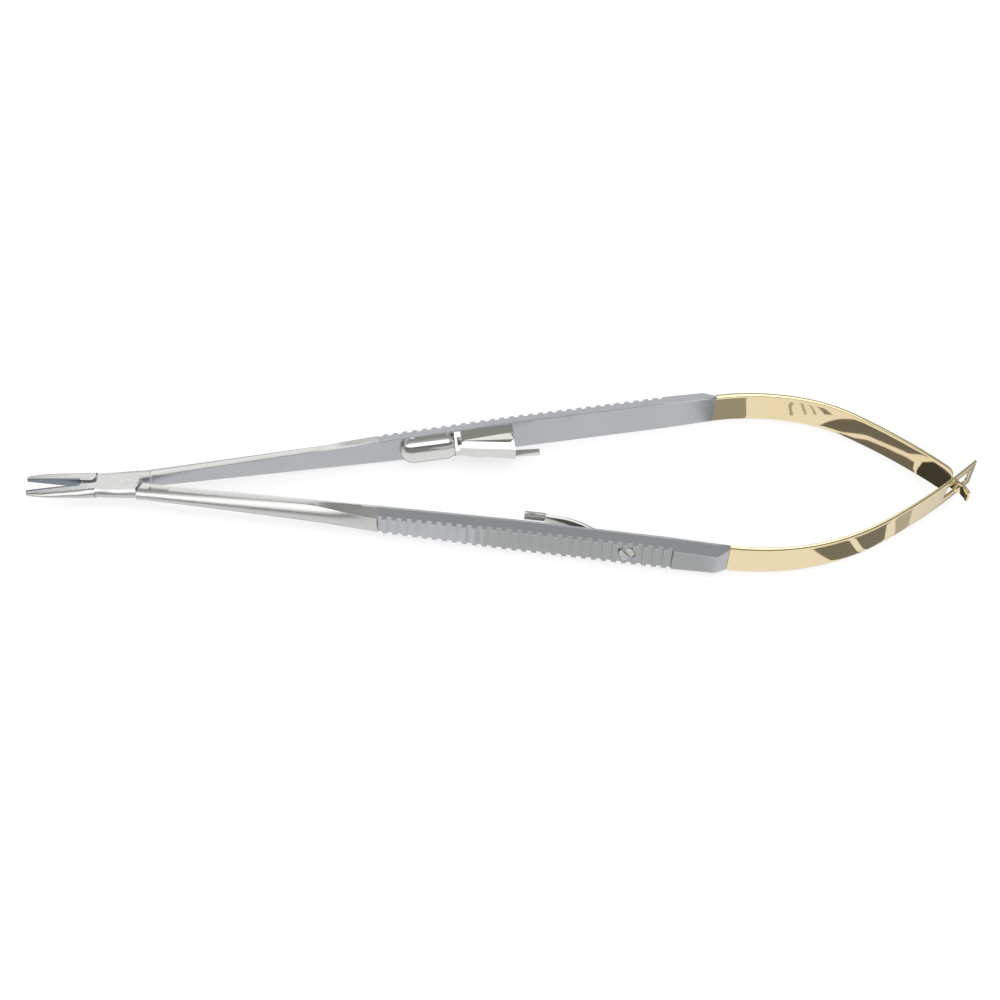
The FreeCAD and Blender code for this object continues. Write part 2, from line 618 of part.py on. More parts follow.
def to_origin(nodes):
    """The move that sets the middle of the whole on the origin and its lowest face on Z = 0."""
    box = Part.makeCompound(list(nodes.values())).optimalBoundingBox(False, False)
    return Vector(-box.Center.x, -box.Center.y, -box.ZMin)


def main():
    nodes = make_nodes()
    move = to_origin(nodes)
    os.makedirs("parts", exist_ok=True)
    for name, shape in nodes.items():
        shape.translate(move)
        solids = shape.Solids
        if len(solids) == 1:
            shape = solids[0]
        shape.exportStep("parts/" + name + ".step")
        box = shape.optimalBoundingBox(False, False)
        print(name, "solids", len(solids), "valid", shape.isValid(), "volume", round(shape.Volume, 2),
              [round(v, 2) for v in (box.XMin, box.XMax, box.YMin, box.YMax, box.ZMin, box.ZMax)])
    seam = Part.Vertex(Vector(ARM_END, LEAF_THICKNESS, 0))
    for label, place in (("box lock", Part.Vertex(ORIGIN)),
                         ("upper leaf seam", on_upper_arm(seam)),
                         ("lower leaf seam", on_lower_arm(seam))):
        point = place.Point + move
        print(label, "axis at", [round(v, 3) for v in (point.x, point.y, point.z)])


main()
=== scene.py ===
"""Surgical needle holder: the looks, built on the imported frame.

The instrument lies on its side on a pale floor, jaws to the left and spring leaves to the
right. Sizes in the classes are millimetres and degrees. An arm is drawn in its own frame,
whose X runs along the inner face and whose +Y is the outer side, and is then placed.
"""

import logging
import math
from dataclasses import dataclass
from enum import Enum
from typing import Callable, Optional, Sequence

import bmesh
import bpy
from mathutils import Matrix, Vector

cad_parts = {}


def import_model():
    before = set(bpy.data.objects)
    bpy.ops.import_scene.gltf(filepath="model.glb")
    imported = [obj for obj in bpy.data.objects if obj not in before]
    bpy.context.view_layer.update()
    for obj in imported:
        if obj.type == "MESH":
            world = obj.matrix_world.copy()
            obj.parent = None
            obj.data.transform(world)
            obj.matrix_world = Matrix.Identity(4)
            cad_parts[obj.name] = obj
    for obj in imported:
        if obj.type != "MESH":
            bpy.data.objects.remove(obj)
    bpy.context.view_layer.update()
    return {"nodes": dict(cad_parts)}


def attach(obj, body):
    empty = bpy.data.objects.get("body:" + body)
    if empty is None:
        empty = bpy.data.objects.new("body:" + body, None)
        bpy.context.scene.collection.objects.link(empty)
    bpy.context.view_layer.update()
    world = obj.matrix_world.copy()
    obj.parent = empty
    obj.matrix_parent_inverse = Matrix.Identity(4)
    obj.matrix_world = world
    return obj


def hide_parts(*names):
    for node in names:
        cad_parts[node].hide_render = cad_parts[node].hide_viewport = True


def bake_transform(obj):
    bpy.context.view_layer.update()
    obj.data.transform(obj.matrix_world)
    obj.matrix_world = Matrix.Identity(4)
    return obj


LOG = logging.getLogger("needle_holder")
MILLIMETRE = 0.001
# Points that are nearer than this, in millimetres, count as one
CLOSE = 0.01
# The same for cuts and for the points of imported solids, in metres
EXACT = 1e-7
Solid = bpy.types.Object
Socket = bpy.types.NodeSocket
Point = tuple[float, float, float]
Runs = tuple[tuple[float, float], ...]


class Side(Enum):
    """Which arm a piece is on. The value is the way that arm turns to open."""

    UPPER = 1
    LOWER = -1


class Grain(Enum):
    """How a metal surface was finished."""

    BLASTED = "blasted"
    BRUSHED = "brushed"
    POLISHED = "polished"


def between(a: float, b: float, share: float) -> float:
    """Returns the value that lies a share of the way from a to b."""
    return a + (b - a) * share


def smooth(share: float) -> float:
    """Returns a share of 0 to 1 with a soft start and end."""
    share = min(max(share, 0.0), 1.0)
    return share * share * (3 - 2 * share)


def spread(first: float, last: float, count: int) -> list[float]:
    """Returns count + 1 even values from first to last."""
    return [between(first, last, index / count) for index in range(count + 1)]


def linear(hex_colour: str) -> tuple[float, float, float, float]:
    """Turns an sRGB hex colour into linear red, green, blue and alpha.

    Args:
        hex_colour: Six hex digits after a hash sign.

    Returns:
        The linear colour with an alpha of 1.
    """
    values = []
    for start in (1, 3, 5):
        part = int(hex_colour[start:start + 2], 16) / 255
        values.append(part / 12.92 if part <= 0.04045 else ((part + 0.055) / 1.055) ** 2.4)
    return (values[0], values[1], values[2], 1.0)


def add_node(tree: bpy.types.NodeTree, kind: str, inputs: Optional[dict] = None,
             **settings: object) -> bpy.types.Node:
    """Adds a node with its settings, values and links.

    Args:
        tree: The node tree to add to.
        kind: The node's class name.
        inputs: Socket name or number, to a value or to an output socket to link from.
        **settings: Attributes of the node.

    Returns:
        The new node.
    """
    node = tree.nodes.new(kind)
    for key, value in settings.items():
        setattr(node, key, value)
    for key, value in (inputs or {}).items():
        if isinstance(value, Socket):
            tree.links.new(value, node.inputs[key])
        else:
            node.inputs[key].default_value = value
    return node


def empty_tree(owner: bpy.types.ID) -> bpy.types.NodeTree:
    """Turns on the nodes of a material or world and returns their tree, emptied."""
    owner.use_nodes = True
    owner.node_tree.nodes.clear()
    return owner.node_tree


def turned(matrix: Matrix, way: Sequence[float]) -> Vector:
    """Gives a direction in the frame that a matrix leads to."""
    return (matrix.to_3x3() @ Vector(way)).normalized()


@dataclass(frozen=True)
class MetalFinish:
    """A metal and the way its surface was made."""

    name: str
    slot: str
    colour: str
    tint: str
    roughness: float
    roughness_spread: float
    grain: Grain
    grain_width: float
    grain_depth: float
    grain_turn: float = 0.0
    grain_stretch: float = 14.0
    grain_levels: tuple[float, float] = (0.3, 0.7)
    cloud_width: float = 12.0
    wave_depth: float = 0.0
    # The edge settings: along the edges the roughness drops, which is real wear, and a lighter edge colour is
    # mixed in, which is a painted highlight
    edge_wear_and_highlight: float = 0.0
    edge_width: float = 0.18
    edge_roughness: float = 0.14
    edge_highlight_colour: str = "#E4E5E6"
    edge_turns: tuple[float, float] = (0.985, 0.85)

    def worn_and_highlighted_edges(self, tree: bpy.types.NodeTree, colour: Socket,
                   roughness: Socket) -> tuple[Socket, Socket]:
        """Makes the edges smoother where handling has rubbed them, and paints them lighter as a painted
        highlight.

        Args:
            tree: The node tree to add to.
            colour: The colour away from the edges.
            roughness: The roughness away from the edges.

        Returns:
            The colour and the roughness with the worn edges in them.
        """
        rounded = add_node(tree, "ShaderNodeBevel", {"Radius": self.edge_width * MILLIMETRE}, samples=6)
        flat = add_node(tree, "ShaderNodeNewGeometry")
        turn = add_node(
            tree, "ShaderNodeVectorMath", {0: rounded.outputs["Normal"], 1: flat.outputs["Normal"]},
            operation="DOT_PRODUCT")
        edge = add_node(
            tree, "ShaderNodeMapRange",
            {"Value": turn.outputs["Value"], "From Min": self.edge_turns[0], "From Max": self.edge_turns[1],
             "To Min": 0.0, "To Max": self.edge_wear_and_highlight}).outputs["Result"]
        worn = add_node(tree, "ShaderNodeMath", {0: edge, 1: roughness}, operation="MULTIPLY")
        kept = add_node(tree, "ShaderNodeMath", {0: roughness, 1: worn.outputs[0]}, operation="SUBTRACT")
        rough = add_node(
            tree, "ShaderNodeMath", {0: kept.outputs[0], 1: self.edge_roughness}, operation="MAXIMUM")
        # Painted highlight: the lighter edge colour is mixed in along the edges
        light = add_node(
            tree, "ShaderNodeMix", {"Factor": edge, "A": colour, "B": linear(self.edge_highlight_colour)},
            data_type="RGBA")
        return light.outputs["Result"], rough.outputs[0]

    def material(self) -> bpy.types.Material:
        """Builds the node material, or returns it if it is there."""
        found = bpy.data.materials.get(self.name)
        if found:
            return found
        material = bpy.data.materials.new(self.name)
        material.use_nodes = True
        tree = material.node_tree
        shader = tree.nodes["Principled BSDF"]
        shader.inputs["Metallic"].default_value = 1.0
        place = add_node(tree, "ShaderNodeTexCoord").outputs["Object"]
        fine = 1 / (self.grain_width * MILLIMETRE)
        along = fine / self.grain_stretch if self.grain is Grain.BRUSHED else fine
        stretched = add_node(
            tree, "ShaderNodeMapping",
            {"Vector": place, "Rotation": (0, 0, -math.radians(self.grain_turn)),
             "Scale": (along, fine, fine)})
        grain = add_node(
            tree, "ShaderNodeTexNoise", {"Vector": stretched.outputs["Vector"], "Scale": 1.0, "Detail": 3.0})
        cloud = add_node(
            tree, "ShaderNodeTexNoise",
            {"Vector": place, "Scale": 1 / (self.cloud_width * MILLIMETRE), "Detail": 1.5})
        tone = add_node(
            tree, "ShaderNodeMix",
            {"Factor": cloud.outputs["Fac"], "A": linear(self.colour), "B": linear(self.tint)},
            data_type="RGBA")
        colour = tone.outputs["Result"]
        smoothest = self.roughness - self.roughness_spread
        roughest = self.roughness + self.roughness_spread
        roughness = add_node(
            tree, "ShaderNodeMapRange",
            {"Value": grain.outputs["Fac"], "From Min": self.grain_levels[0],
             "From Max": self.grain_levels[1], "To Min": smoothest, "To Max": roughest}).outputs["Result"]
        if self.edge_wear_and_highlight:
            colour, roughness = self.worn_and_highlighted_edges(tree, colour, roughness)
        tree.links.new(colour, shader.inputs["Base Color"])
        tree.links.new(roughness, shader.inputs["Roughness"])
        bump = add_node(
            tree, "ShaderNodeBump",
            {"Height": grain.outputs["Fac"], "Distance": self.grain_depth * MILLIMETRE, "Strength": 1.0})
        normal = bump.outputs["Normal"]
        if self.wave_depth:
            wave = add_node(
                tree, "ShaderNodeBump",
                {"Height": cloud.outputs["Fac"], "Distance": self.wave_depth * MILLIMETRE, "Normal": normal})
            normal = wave.outputs["Normal"]
        tree.links.new(normal, shader.inputs["Normal"])
        return material

    def dress(self, piece: Solid) -> None:
        """Gives a piece this finish."""
        piece.data.materials.clear()
        piece.data.materials.append(self.material())


# Stainless steel of the grips, blasted with glass beads: grey and soft, smoother along worn edges, which also
# get a painted highlight
SATIN_STEEL = MetalFinish(
    "stainless_steel_satin", "satin_steel", "#BFC1C4", "#B2B5B9", 0.35, 0.07, Grain.BLASTED, 0.3, 0.02,
    edge_wear_and_highlight=0.6)
# Stainless steel of jaws, box and shanks, rubbed along their length: silky, with soft long highlights, and
# worn edges that also get a painted highlight
BRUSHED_STEEL = MetalFinish(
    "stainless_steel_brushed", "satin_steel", "#CDCDCC", "#C0C0BF", 0.27, 0.05, Grain.BRUSHED, 0.16, 0.002,
    edge_wear_and_highlight=0.5, edge_roughness=0.1)
# Stainless steel of the lock, polished on a wheel: dark and bright stripes side by side
POLISHED_STEEL = MetalFinish(
    "stainless_steel_polished", "polished_steel", "#D8D8D5", "#CFCFCB", 0.1, 0.03, Grain.POLISHED, 0.3,
    0.0003)
# Ground hard metal of the jaw faces, darker and bluer than the steel round it
HARD_METAL = MetalFinish(
    "tungsten_carbide_ground", "hard_metal", "#848B93", "#767E88", 0.3, 0.05, Grain.BRUSHED, 0.12, 0.002,
    90.0)
# Gold plating on polished spring steel: pale yellow, near a mirror, slightly wavy
GOLD_PLATE = MetalFinish(
    "gold_plating_polished", "gold_spring", "#ECDBB6", "#E6D2A5", 0.06, 0.02, Grain.POLISHED, 0.3, 0.0002,
    cloud_width=9.0, wave_depth=0.05)


class Bench:
    """The modelling moves that the pieces are made with."""

    @staticmethod
    def clear() -> None:
        """Leaves edit mode and deselects everything."""
        if bpy.context.object and bpy.context.object.mode != "OBJECT":
            bpy.ops.object.mode_set(mode="OBJECT")
        bpy.ops.object.select_all(action="DESELECT")

    @staticmethod
    def pick(piece: Solid) -> None:
        """Makes one object the only selected and active one."""
        Bench.clear()
        piece.select_set(True)
        bpy.context.view_layer.objects.active = piece

    @staticmethod
    def start(name: str, maker: Callable, **settings: object) -> Solid:
        """Makes a basic mesh with one of Blender's operators and names it."""
        Bench.clear()
        maker(**settings)
        bpy.context.object.name = name
        return bpy.context.object

    @staticmethod
    def edit(piece: Solid, kind: str = "FACE", select: str = "SELECT") -> None:
        """Enters edit mode on one piece, with all or none of it selected."""
        Bench.pick(piece)
        bpy.ops.object.mode_set(mode="EDIT")
        bpy.ops.mesh.select_mode(type=kind)
        bpy.ops.mesh.select_all(action=select)

    @staticmethod
    def done(outward: bool = False) -> None:
        """Leaves edit mode, and turns all faces outward before that if outward is set."""
        if outward:
            bpy.ops.mesh.select_all(action="SELECT")
            bpy.ops.mesh.normals_make_consistent(inside=False)
        bpy.ops.object.mode_set(mode="OBJECT")

    @staticmethod
    def apply(piece: Solid, kind: str, **settings: object) -> None:
        """Adds a modifier with its settings and applies it."""
        Bench.pick(piece)
        modifier = piece.modifiers.new(kind.lower(), kind)
        for key, value in settings.items():
            setattr(modifier, key, value)
        bpy.ops.object.modifier_apply(modifier=modifier.name)

    @staticmethod
    def select_faces(piece: Solid, wanted: Callable[[Vector, Vector], bool]) -> None:
        """Selects the faces whose middle and normal are wanted, in edit mode.

        Args:
            piece: The piece in edit mode.
            wanted: Takes a face's middle and normal.
        """
        form = bmesh.from_edit_mesh(piece.data)
        chosen = [face for face in form.faces if wanted(face.calc_center_median(), face.normal)]
        for face in form.faces:
            face.select_set(False)
        for face in chosen:
            face.select_set(True)
        bmesh.update_edit_mesh(piece.data)

    @staticmethod
    def reshape(piece: Solid, move: Callable[[Vector], Sequence[float]]) -> None:
        """Moves every vertex of a piece to where a function puts it."""
        for vertex in piece.data.vertices:
            vertex.co = move(vertex.co)
        piece.data.update()

    @staticmethod
    def loft(name: str, sections: Sequence[Sequence[Point]]) -> Solid:
        """Extrudes a flat ring of points from section to section.

        Args:
            name: Name of the new object.
            sections: Rings with the same number of points, in order.

        Returns:
            A closed mesh object.
        """
        piece = Bench.start(
            name, bpy.ops.mesh.primitive_circle_add, vertices=len(sections[0]), radius=1.0, fill_type="NGON")
        Bench.edit(piece)
        for index, section in enumerate(sections):
            if index:
                bpy.ops.mesh.extrude_region_move()
            form = bmesh.from_edit_mesh(piece.data)
            face = next(face for face in form.faces if face.select)
            for vertex, point in zip(face.verts, section):
                vertex.co = point
            bmesh.update_edit_mesh(piece.data)
        Bench.done(outward=True)
        return piece

    @staticmethod
    def plate(name: str, stations: Sequence[float], rows: Callable[[float], Sequence[float]],
              thickness: float) -> Solid:
        """Makes a flat plate of even thickness from a grid.

        Args:
            name: Name of the new object.
            stations: Places along X.
            rows: Gives the places across, in Z, at each station, always as many.
            thickness: Thickness in +Y.

        Returns:
            A closed mesh object with its lower face on Y = 0.
        """
        along = len(stations) - 1
        across = len(rows(stations[0])) - 1
        piece = Bench.start(
            name, bpy.ops.mesh.primitive_grid_add, x_subdivisions=along, y_subdivisions=across, size=1.0)

        def spot(place: Vector) -> Point:
            """Gives a grid point's place on the plate."""
            x = stations[round((place.x + 0.5) * along)]
            return (x, 0.0, rows(x)[round((place.y + 0.5) * across)])

        Bench.reshape(piece, spot)
        Bench.edit(piece)
        bpy.ops.mesh.extrude_region_move(TRANSFORM_OT_translate={"value": (0, thickness, 0)})
        Bench.done(outward=True)
        return piece

    @staticmethod
    def rod(name: str, radius: float, start: Point, end: Point, vertices: int = 64) -> Solid:
        """Makes a round rod between two points."""
        run = Vector(end) - Vector(start)
        piece = Bench.start(
            name, bpy.ops.mesh.primitive_cylinder_add, vertices=vertices, radius=radius, depth=run.length)
        turn = run.to_track_quat("Z", "Y").to_matrix().to_4x4()
        piece.data.transform(Matrix.Translation(Vector(start) + run / 2) @ turn)
        return piece

    @staticmethod
    def block(name: str, low: Point, high: Point) -> Solid:
        """Makes a box from its lowest and highest corners."""
        piece = Bench.start(name, bpy.ops.mesh.primitive_cube_add, size=1.0)
        size = Vector(high) - Vector(low)
        middle = Vector(low) + size / 2
        piece.data.transform(Matrix.Translation(middle) @ Matrix.Diagonal((*size, 1)))
        return piece

    @staticmethod
    def take(node: Solid, name: str) -> Solid:
        """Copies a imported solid's mesh and merges its loose triangles into faces.

        Args:
            node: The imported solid.
            name: Name of the copy.

        Returns:
            The copy, in metres and in place.
        """
        piece = bpy.data.objects.new(name, node.data.copy())
        bpy.context.scene.collection.objects.link(piece)
        Bench.edit(piece, "VERT")
        bpy.ops.mesh.remove_doubles(threshold=EXACT)
        bpy.ops.mesh.dissolve_limited(angle_limit=math.radians(0.2))
        Bench.done()
        return piece

    @staticmethod
    def cut(piece: Solid, at: Vector, normal: Vector, fill: bool = True) -> None:
        """Cuts off what lies beyond a plane, and closes the cut if fill is set."""
        Bench.edit(piece)
        bpy.ops.mesh.bisect(
            plane_co=at, plane_no=normal, use_fill=fill, clear_outer=True, threshold=EXACT)
        Bench.done()

    @staticmethod
    def drill(piece: Solid, tool: Solid) -> None:
        """Takes a tool's volume out of a piece and removes the tool."""
        Bench.apply(piece, "BOOLEAN", operation="DIFFERENCE", solver="EXACT", object=tool)
        bpy.data.objects.remove(tool)

    @staticmethod
    def round_edges(piece: Solid, width: float, segments: int = 2, angle: float = 30.0) -> None:
        """Rounds the sharp edges of a piece.

        Args:
            piece: The piece.
            width: Width of the rounding in the mesh's own unit.
            segments: Steps across the rounding.
            angle: Edges that turn by more degrees than this are rounded.
        """
        Bench.apply(
            piece, "BEVEL", width=width, segments=segments, limit_method="ANGLE",
            angle_limit=math.radians(angle), use_clamp_overlap=True, miter_outer="MITER_ARC")

    @staticmethod
    def finish_surface(piece: Solid, angle: float = 35.0) -> None:
        """Smooths a piece's shading up to an angle and keeps its flat faces flat."""
        Bench.pick(piece)
        bpy.ops.object.shade_smooth_by_angle(angle=math.radians(angle))
        Bench.apply(piece, "WEIGHTED_NORMAL", keep_sharp=True, weight=50)

    @staticmethod
    def join(pieces: Sequence[Solid], name: str) -> Solid:
        """Joins meshes into the first one."""
        Bench.clear()
        for piece in pieces:
            piece.select_set(True)
        bpy.context.view_layer.objects.active = pieces[0]
        bpy.ops.object.join()
        pieces[0].name = name
        return pieces[0]

    @staticmethod
    def deliver(piece: Solid, finish: MetalFinish, node: str, body: str) -> Solid:
        """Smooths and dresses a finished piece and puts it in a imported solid's place.

        Args:
            piece: The piece, in its place.
            finish: Its metal and surface.
            node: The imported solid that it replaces.
            body: The body that it rides on.

        Returns:
            The piece.
        """
        Bench.finish_surface(piece)
        finish.dress(piece)
        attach(piece, body)
        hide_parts(node)
        return piece


@dataclass
class Layout:
    """Where the arms stand about the hinge at rest, and where the lock's screws sit in them."""

    hinge: Point = (-72.009, 0.0, 4.05)
    half_opening: float = 3.7
    arm_angle: float = 4.6
    face_offset: float = 0.15
    catch_screw: float = 58.7
    hook_screw: float = 95.71
    screw_seat: float = 1.45

    def placement(self, side: Side) -> Matrix:
        """Gives the matrix from an arm's frame in millimetres to the row frame in metres."""
        turned = Matrix.Rotation(math.radians(self.arm_angle), 4, "Z")
        closed = turned @ Matrix.Translation((0, -self.face_offset, 0))
        if side is Side.LOWER:
            closed = Matrix.Diagonal((1, -1, 1, 1)) @ closed
        opened = Matrix.Rotation(math.radians(self.half_opening * side.value), 4, "Z")
        return Matrix.Scale(MILLIMETRE, 4) @ Matrix.Translation(self.hinge) @ opened @ closed

    def place(self, piece: Solid, side: Side) -> None:
        """Places a piece drawn in an arm's frame, with its place in its mesh."""
        piece.data.transform(self.placement(side))
        if side is Side.LOWER:
            Bench.edit(piece)
            Bench.done(outward=True)


def follow(start: tuple[float, float], heading: float, runs: Runs, way: float,
           offset: float) -> tuple[float, float]:
    """Gives the point a way along a bent strip.

    Args:
        start: Start of the inner face.
        heading: Direction of the strip at its start.
        runs: Lengths and turns of the strip's arcs.
        way: Distance along the inner face.
        offset: Distance from the inner face towards the outer one.

    Returns:
        The point's x and y.
    """
    x, y = start
    angle = math.radians(heading)
    for index, (length, turn) in enumerate(runs):
        part = way if index == len(runs) - 1 else min(way, length)
        bend = math.radians(turn) * part / length
        if abs(bend) < 1e-9:
            x += math.cos(angle) * part
            y += math.sin(angle) * part
        else:
            radius = part / bend
            x += radius * (math.sin(angle) - math.sin(angle - bend))
            y += radius * (math.cos(angle - bend) - math.cos(angle))
        angle -= bend
        way -= part
        if way <= 0:
            break
    return x - math.sin(angle) * offset, y + math.cos(angle) * offset


def bend_strip(strip: Solid, start: tuple[float, float], heading: float, runs: Runs,
               thinning: Callable[[float], float]) -> None:
    """Bends a flat strip along its runs.

    Args:
        strip: The flat strip, drawn along X with its inner face on Y = 0.
        start: Start of the inner face.
        heading: Direction of the strip at its start.
        runs: Lengths and turns of the strip's arcs.
        thinning: Gives the share of its thickness that the strip keeps at a way along it.
    """
    def bend(place: Vector) -> Point:
        """Moves a point of the flat strip on to the bent one."""
        x, y = follow(start, heading, runs, place.x, place.y * thinning(place.x))
        return (x, y, place.z)

    Bench.reshape(strip, bend)


@dataclass
class ArmPiece:
    """A piece on one arm: where it stands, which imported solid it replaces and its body."""

    layout: Layout
    side: Side
    node: str
    body: str


@dataclass
class ArmForging(ArmPiece):
    """Shank, serrated grip and end block of one arm, made on to the box and jaw before them."""

    screw_at: float
    seam_at: float = 6.6
    shank_start: float = 3.6
    shank_start_width: float = 2.95
    shank_side: float = 1.2
    shank_crown: float = 1.15
    shank_end_crown: float = 0.14
    flare_length: float = 14.0
    grip_start: float = 49.27
    grip_start_width: float = 6.6
    grip_width: float = 8.1
    full_width_at: float = 74.0
    grip_height: float = 2.4
    grip_taper: float = 1.0
    grip_land: float = 0.45
    tooth_count: int = 29
    tooth_pitch: float = 1.856
    tooth_width: float = 0.84
    tooth_height: float = 0.55
    wall_slope: float = 0.05
    end_wall_slope: float = 0.25
    block_length: float = 8.0
    block_slope: float = 2.1
    leaf_width: float = 7.3
    leaf_thickness: float = 0.9
    seat_radius: float = 1.6
    hole_radius: float = 0.85
    rounding: float = 0.1
    rounded_turn: float = 24.0
    shank_sections: int = 72
    box_rounding: float = 0.08
    box_rise: float = 0.16
    box_end: float = 6.0
    box_margin: float = 0.05
    outside_from: float = 1.0
    slice_from: float = 2.1
    slice_width: float = 2.9
    slices_along: int = 9
    slices_across: int = 14
    seam_margin: float = 0.2
    seam_weld: float = 0.035
    jaw_drop: float = 0.09
    jaw_root: tuple[float, float] = (-7.5, -4.0)
    jaw_root_run: float = 3.3
    jaw_outside: float = 0.6

    @property
    def floor(self) -> float:
        """Height of the groove floors."""
        return self.grip_height - self.tooth_height

    @property
    def grip_end(self) -> float:
        """Where the last groove ends."""
        return self.grip_start + (self.tooth_count + 1) * self.tooth_pitch - self.tooth_width

    @property
    def block_end(self) -> float:
        """Where the end block starts to slope."""
        return self.grip_end + self.block_length

    @property
    def arm_end(self) -> float:
        """Where the leaf spring starts."""
        return self.block_end + self.block_slope

    def width(self, x: float) -> float:
        """Gives the width of the inner face at x."""
        if x < self.grip_start:
            share = (x - self.shank_start) / (self.grip_start - self.shank_start)
            return between(self.shank_start_width, self.grip_start_width, share)
        if x > self.grip_end:
            share = (x - self.grip_end) / (self.arm_end - self.grip_end)
            return between(self.grip_width, self.leaf_width, share)
        share = min((x - self.grip_start) / (self.full_width_at - self.grip_start), 1.0)
        return between(self.grip_start_width, self.grip_width, share)

    def slope_at(self, x: float, height: float) -> float:
        """Gives half the width of the grip's sloping sides at a height."""
        share = max(height - self.grip_land, 0) / (self.grip_height - self.grip_land)
        return self.width(x) / 2 - self.grip_taper * share

    def ring(self, x: float, ratios: Sequence[float], land: float, edge: float, height: float,
             crown: float) -> list[Point]:
        """Gives a section across the arm.

        Args:
            x: Place along the arm.
            ratios: Places of the crown's points, from 1 at one edge to -1 at the other.
            land: Half the width at the top of the square edge.
            edge: Half the width of the outer face.
            height: Height of the outer face at its middle.
            crown: Rise of the outer face between its edges.

        Returns:
            The ring of points, from one corner of the inner face round to the other.
        """
        half = self.width(x) / 2
        radius = (edge * edge + crown * crown) / (2 * crown) if crown else 0.0
        points = [(x, 0.0, half), (x, self.grip_land, land)]
        for ratio in ratios:
            z = edge * ratio
            fall = radius - math.sqrt(max(radius * radius - z * z, 0.0)) if crown else 0.0
            points.append((x, height - fall, z))
        points += [(x, self.grip_land, -land), (x, 0.0, -half)]
        return points

    def shank_ring(self, x: float, ratios: Sequence[float]) -> list[Point]:
        """Gives a section across the arched shank."""
        flare = smooth((x - self.grip_start + self.flare_length) / self.flare_length)
        width = self.width(x)
        edge = width / 2 - self.grip_taper * flare
        height = between(self.shank_side + self.shank_crown, self.grip_height, flare)
        crown = between(self.shank_crown, self.shank_end_crown, flare)
        straight = between(width / 2, edge, self.grip_land / (height - crown))
        return self.ring(x, ratios, between(straight, width / 2, flare), edge, height, crown)

    def flat_ring(self, x: float, ratios: Sequence[float], height: float) -> list[Point]:
        """Gives a section across the grip with a flat outer face."""
        return self.ring(x, ratios, self.width(x) / 2, self.slope_at(x, height), height, 0.0)

    def bar(self, ratios: Sequence[float]) -> Solid:
        """Builds the arm behind the seam, in its own frame.

        Args:
            ratios: Places of the crown's points across the arm.

        Returns:
            The arm, open at its front.
        """
        shank = spread(self.seam_at, self.grip_start, self.shank_sections)
        sections = [self.shank_ring(x, ratios) for x in shank]
        for index in range(self.tooth_count + 1):
            start = self.grip_start + index * self.tooth_pitch
            end = start + self.tooth_pitch - self.tooth_width
            first = self.wall_slope if index else self.end_wall_slope
            last = self.wall_slope if index < self.tooth_count else self.end_wall_slope
            sections.append(self.flat_ring(start + first, ratios, self.floor))
            sections.append(self.flat_ring(end - last, ratios, self.floor))
        sections.append(self.flat_ring(self.grip_end, ratios, self.grip_height))
        sections.append(self.flat_ring(self.block_end, ratios, self.grip_height))
        end = self.ring(
            self.arm_end, ratios, self.leaf_width / 2, self.leaf_width / 2 - self.grip_land / 2,
            self.leaf_thickness, 0.0)
        sections.append(end)
        bar = Bench.loft("arm", sections)
        self.raise_teeth(bar)
        Bench.edit(bar)
        Bench.select_faces(bar, lambda middle, normal: middle.x < self.seam_at + CLOSE)
        bpy.ops.mesh.delete(type="ONLY_FACE")
        Bench.done()
        return bar

    def raise_teeth(self, bar: Solid) -> None:
        """Extrudes the teeth from the flat floor between the grooves."""
        groove = self.tooth_pitch - self.tooth_width

        def on_tooth(middle: Vector, normal: Vector) -> bool:
            """Tells whether a face is the foot of a tooth."""
            up = normal.y > 0.9 and middle.y < self.floor + CLOSE
            way = (middle.x - self.grip_start) % self.tooth_pitch
            return up and self.grip_start < middle.x < self.grip_end - groove / 2 and way > groove

        Bench.edit(bar)
        Bench.select_faces(bar, on_tooth)
        bpy.ops.mesh.extrude_region_move(TRANSFORM_OT_translate={"value": (0, self.tooth_height, 0)})
        form = bmesh.from_edit_mesh(bar.data)
        for vertex in form.verts:
            if vertex.select:
                x = vertex.co.x
                vertex.co.z *= self.slope_at(x, self.grip_height) / self.slope_at(x, self.floor)
                way = (x - self.grip_start) % self.tooth_pitch
                front = way < groove + self.tooth_width / 2
                vertex.co.x += self.wall_slope if front else -self.wall_slope
        bmesh.update_edit_mesh(bar.data)
        Bench.done(outward=True)

    def drill_seat(self, bar: Solid) -> None:
        """Drills the counterbore and the hole for the lock screw."""
        x = self.screw_at
        top = self.grip_height
        Bench.drill(bar, Bench.rod("hole", self.hole_radius, (x, -1, 0), (x, top, 0)))
        seat = (x, self.layout.screw_seat, 0)
        Bench.drill(bar, Bench.rod("seat", self.seat_radius, seat, (x, top + 2, 0)))

    def slice_box_end(self, piece: Solid, matrix: Matrix) -> None:
        """Cuts the outer faces at the box's rear end into small ones, so that they bend evenly.

        Args:
            piece: Jaw and box, in place.
            matrix: From the arm's frame to the row frame.
        """
        back = matrix.inverted()
        along = spread(self.shank_start + self.box_margin, self.seam_at - self.seam_margin, self.slices_along)
        across = spread(-self.slice_width / 2, self.slice_width / 2, self.slices_across)
        planes = [((x, 0, 0), (1, 0, 0)) for x in along] + [((0, 0, z), (0, 0, 1)) for z in across]

        def behind(middle: Vector, facing: Vector) -> bool:
            """Tells whether a face is at the box's rear end and doesn't look inward."""
            return (back @ middle).x > self.slice_from and turned(back, facing).y > -0.5

        Bench.edit(piece)
        for at, normal in planes:
            Bench.select_faces(piece, behind)
            bpy.ops.mesh.bisect(
                plane_co=matrix @ Vector(at), plane_no=turned(matrix, normal), threshold=EXACT)
        Bench.done()

    def weld_seam(self, half: Solid) -> None:
        """Welds the points on both sides of the seam."""
        back = self.layout.placement(self.side).inverted()
        Bench.edit(half, "VERT", "DESELECT")
        form = bmesh.from_edit_mesh(half.data)
        for vertex in form.verts:
            vertex.select_set(abs((back @ vertex.co).x - self.seam_at) < CLOSE)
        bmesh.update_edit_mesh(half.data)
        bpy.ops.mesh.remove_doubles(threshold=self.seam_weld * MILLIMETRE)
        Bench.done()

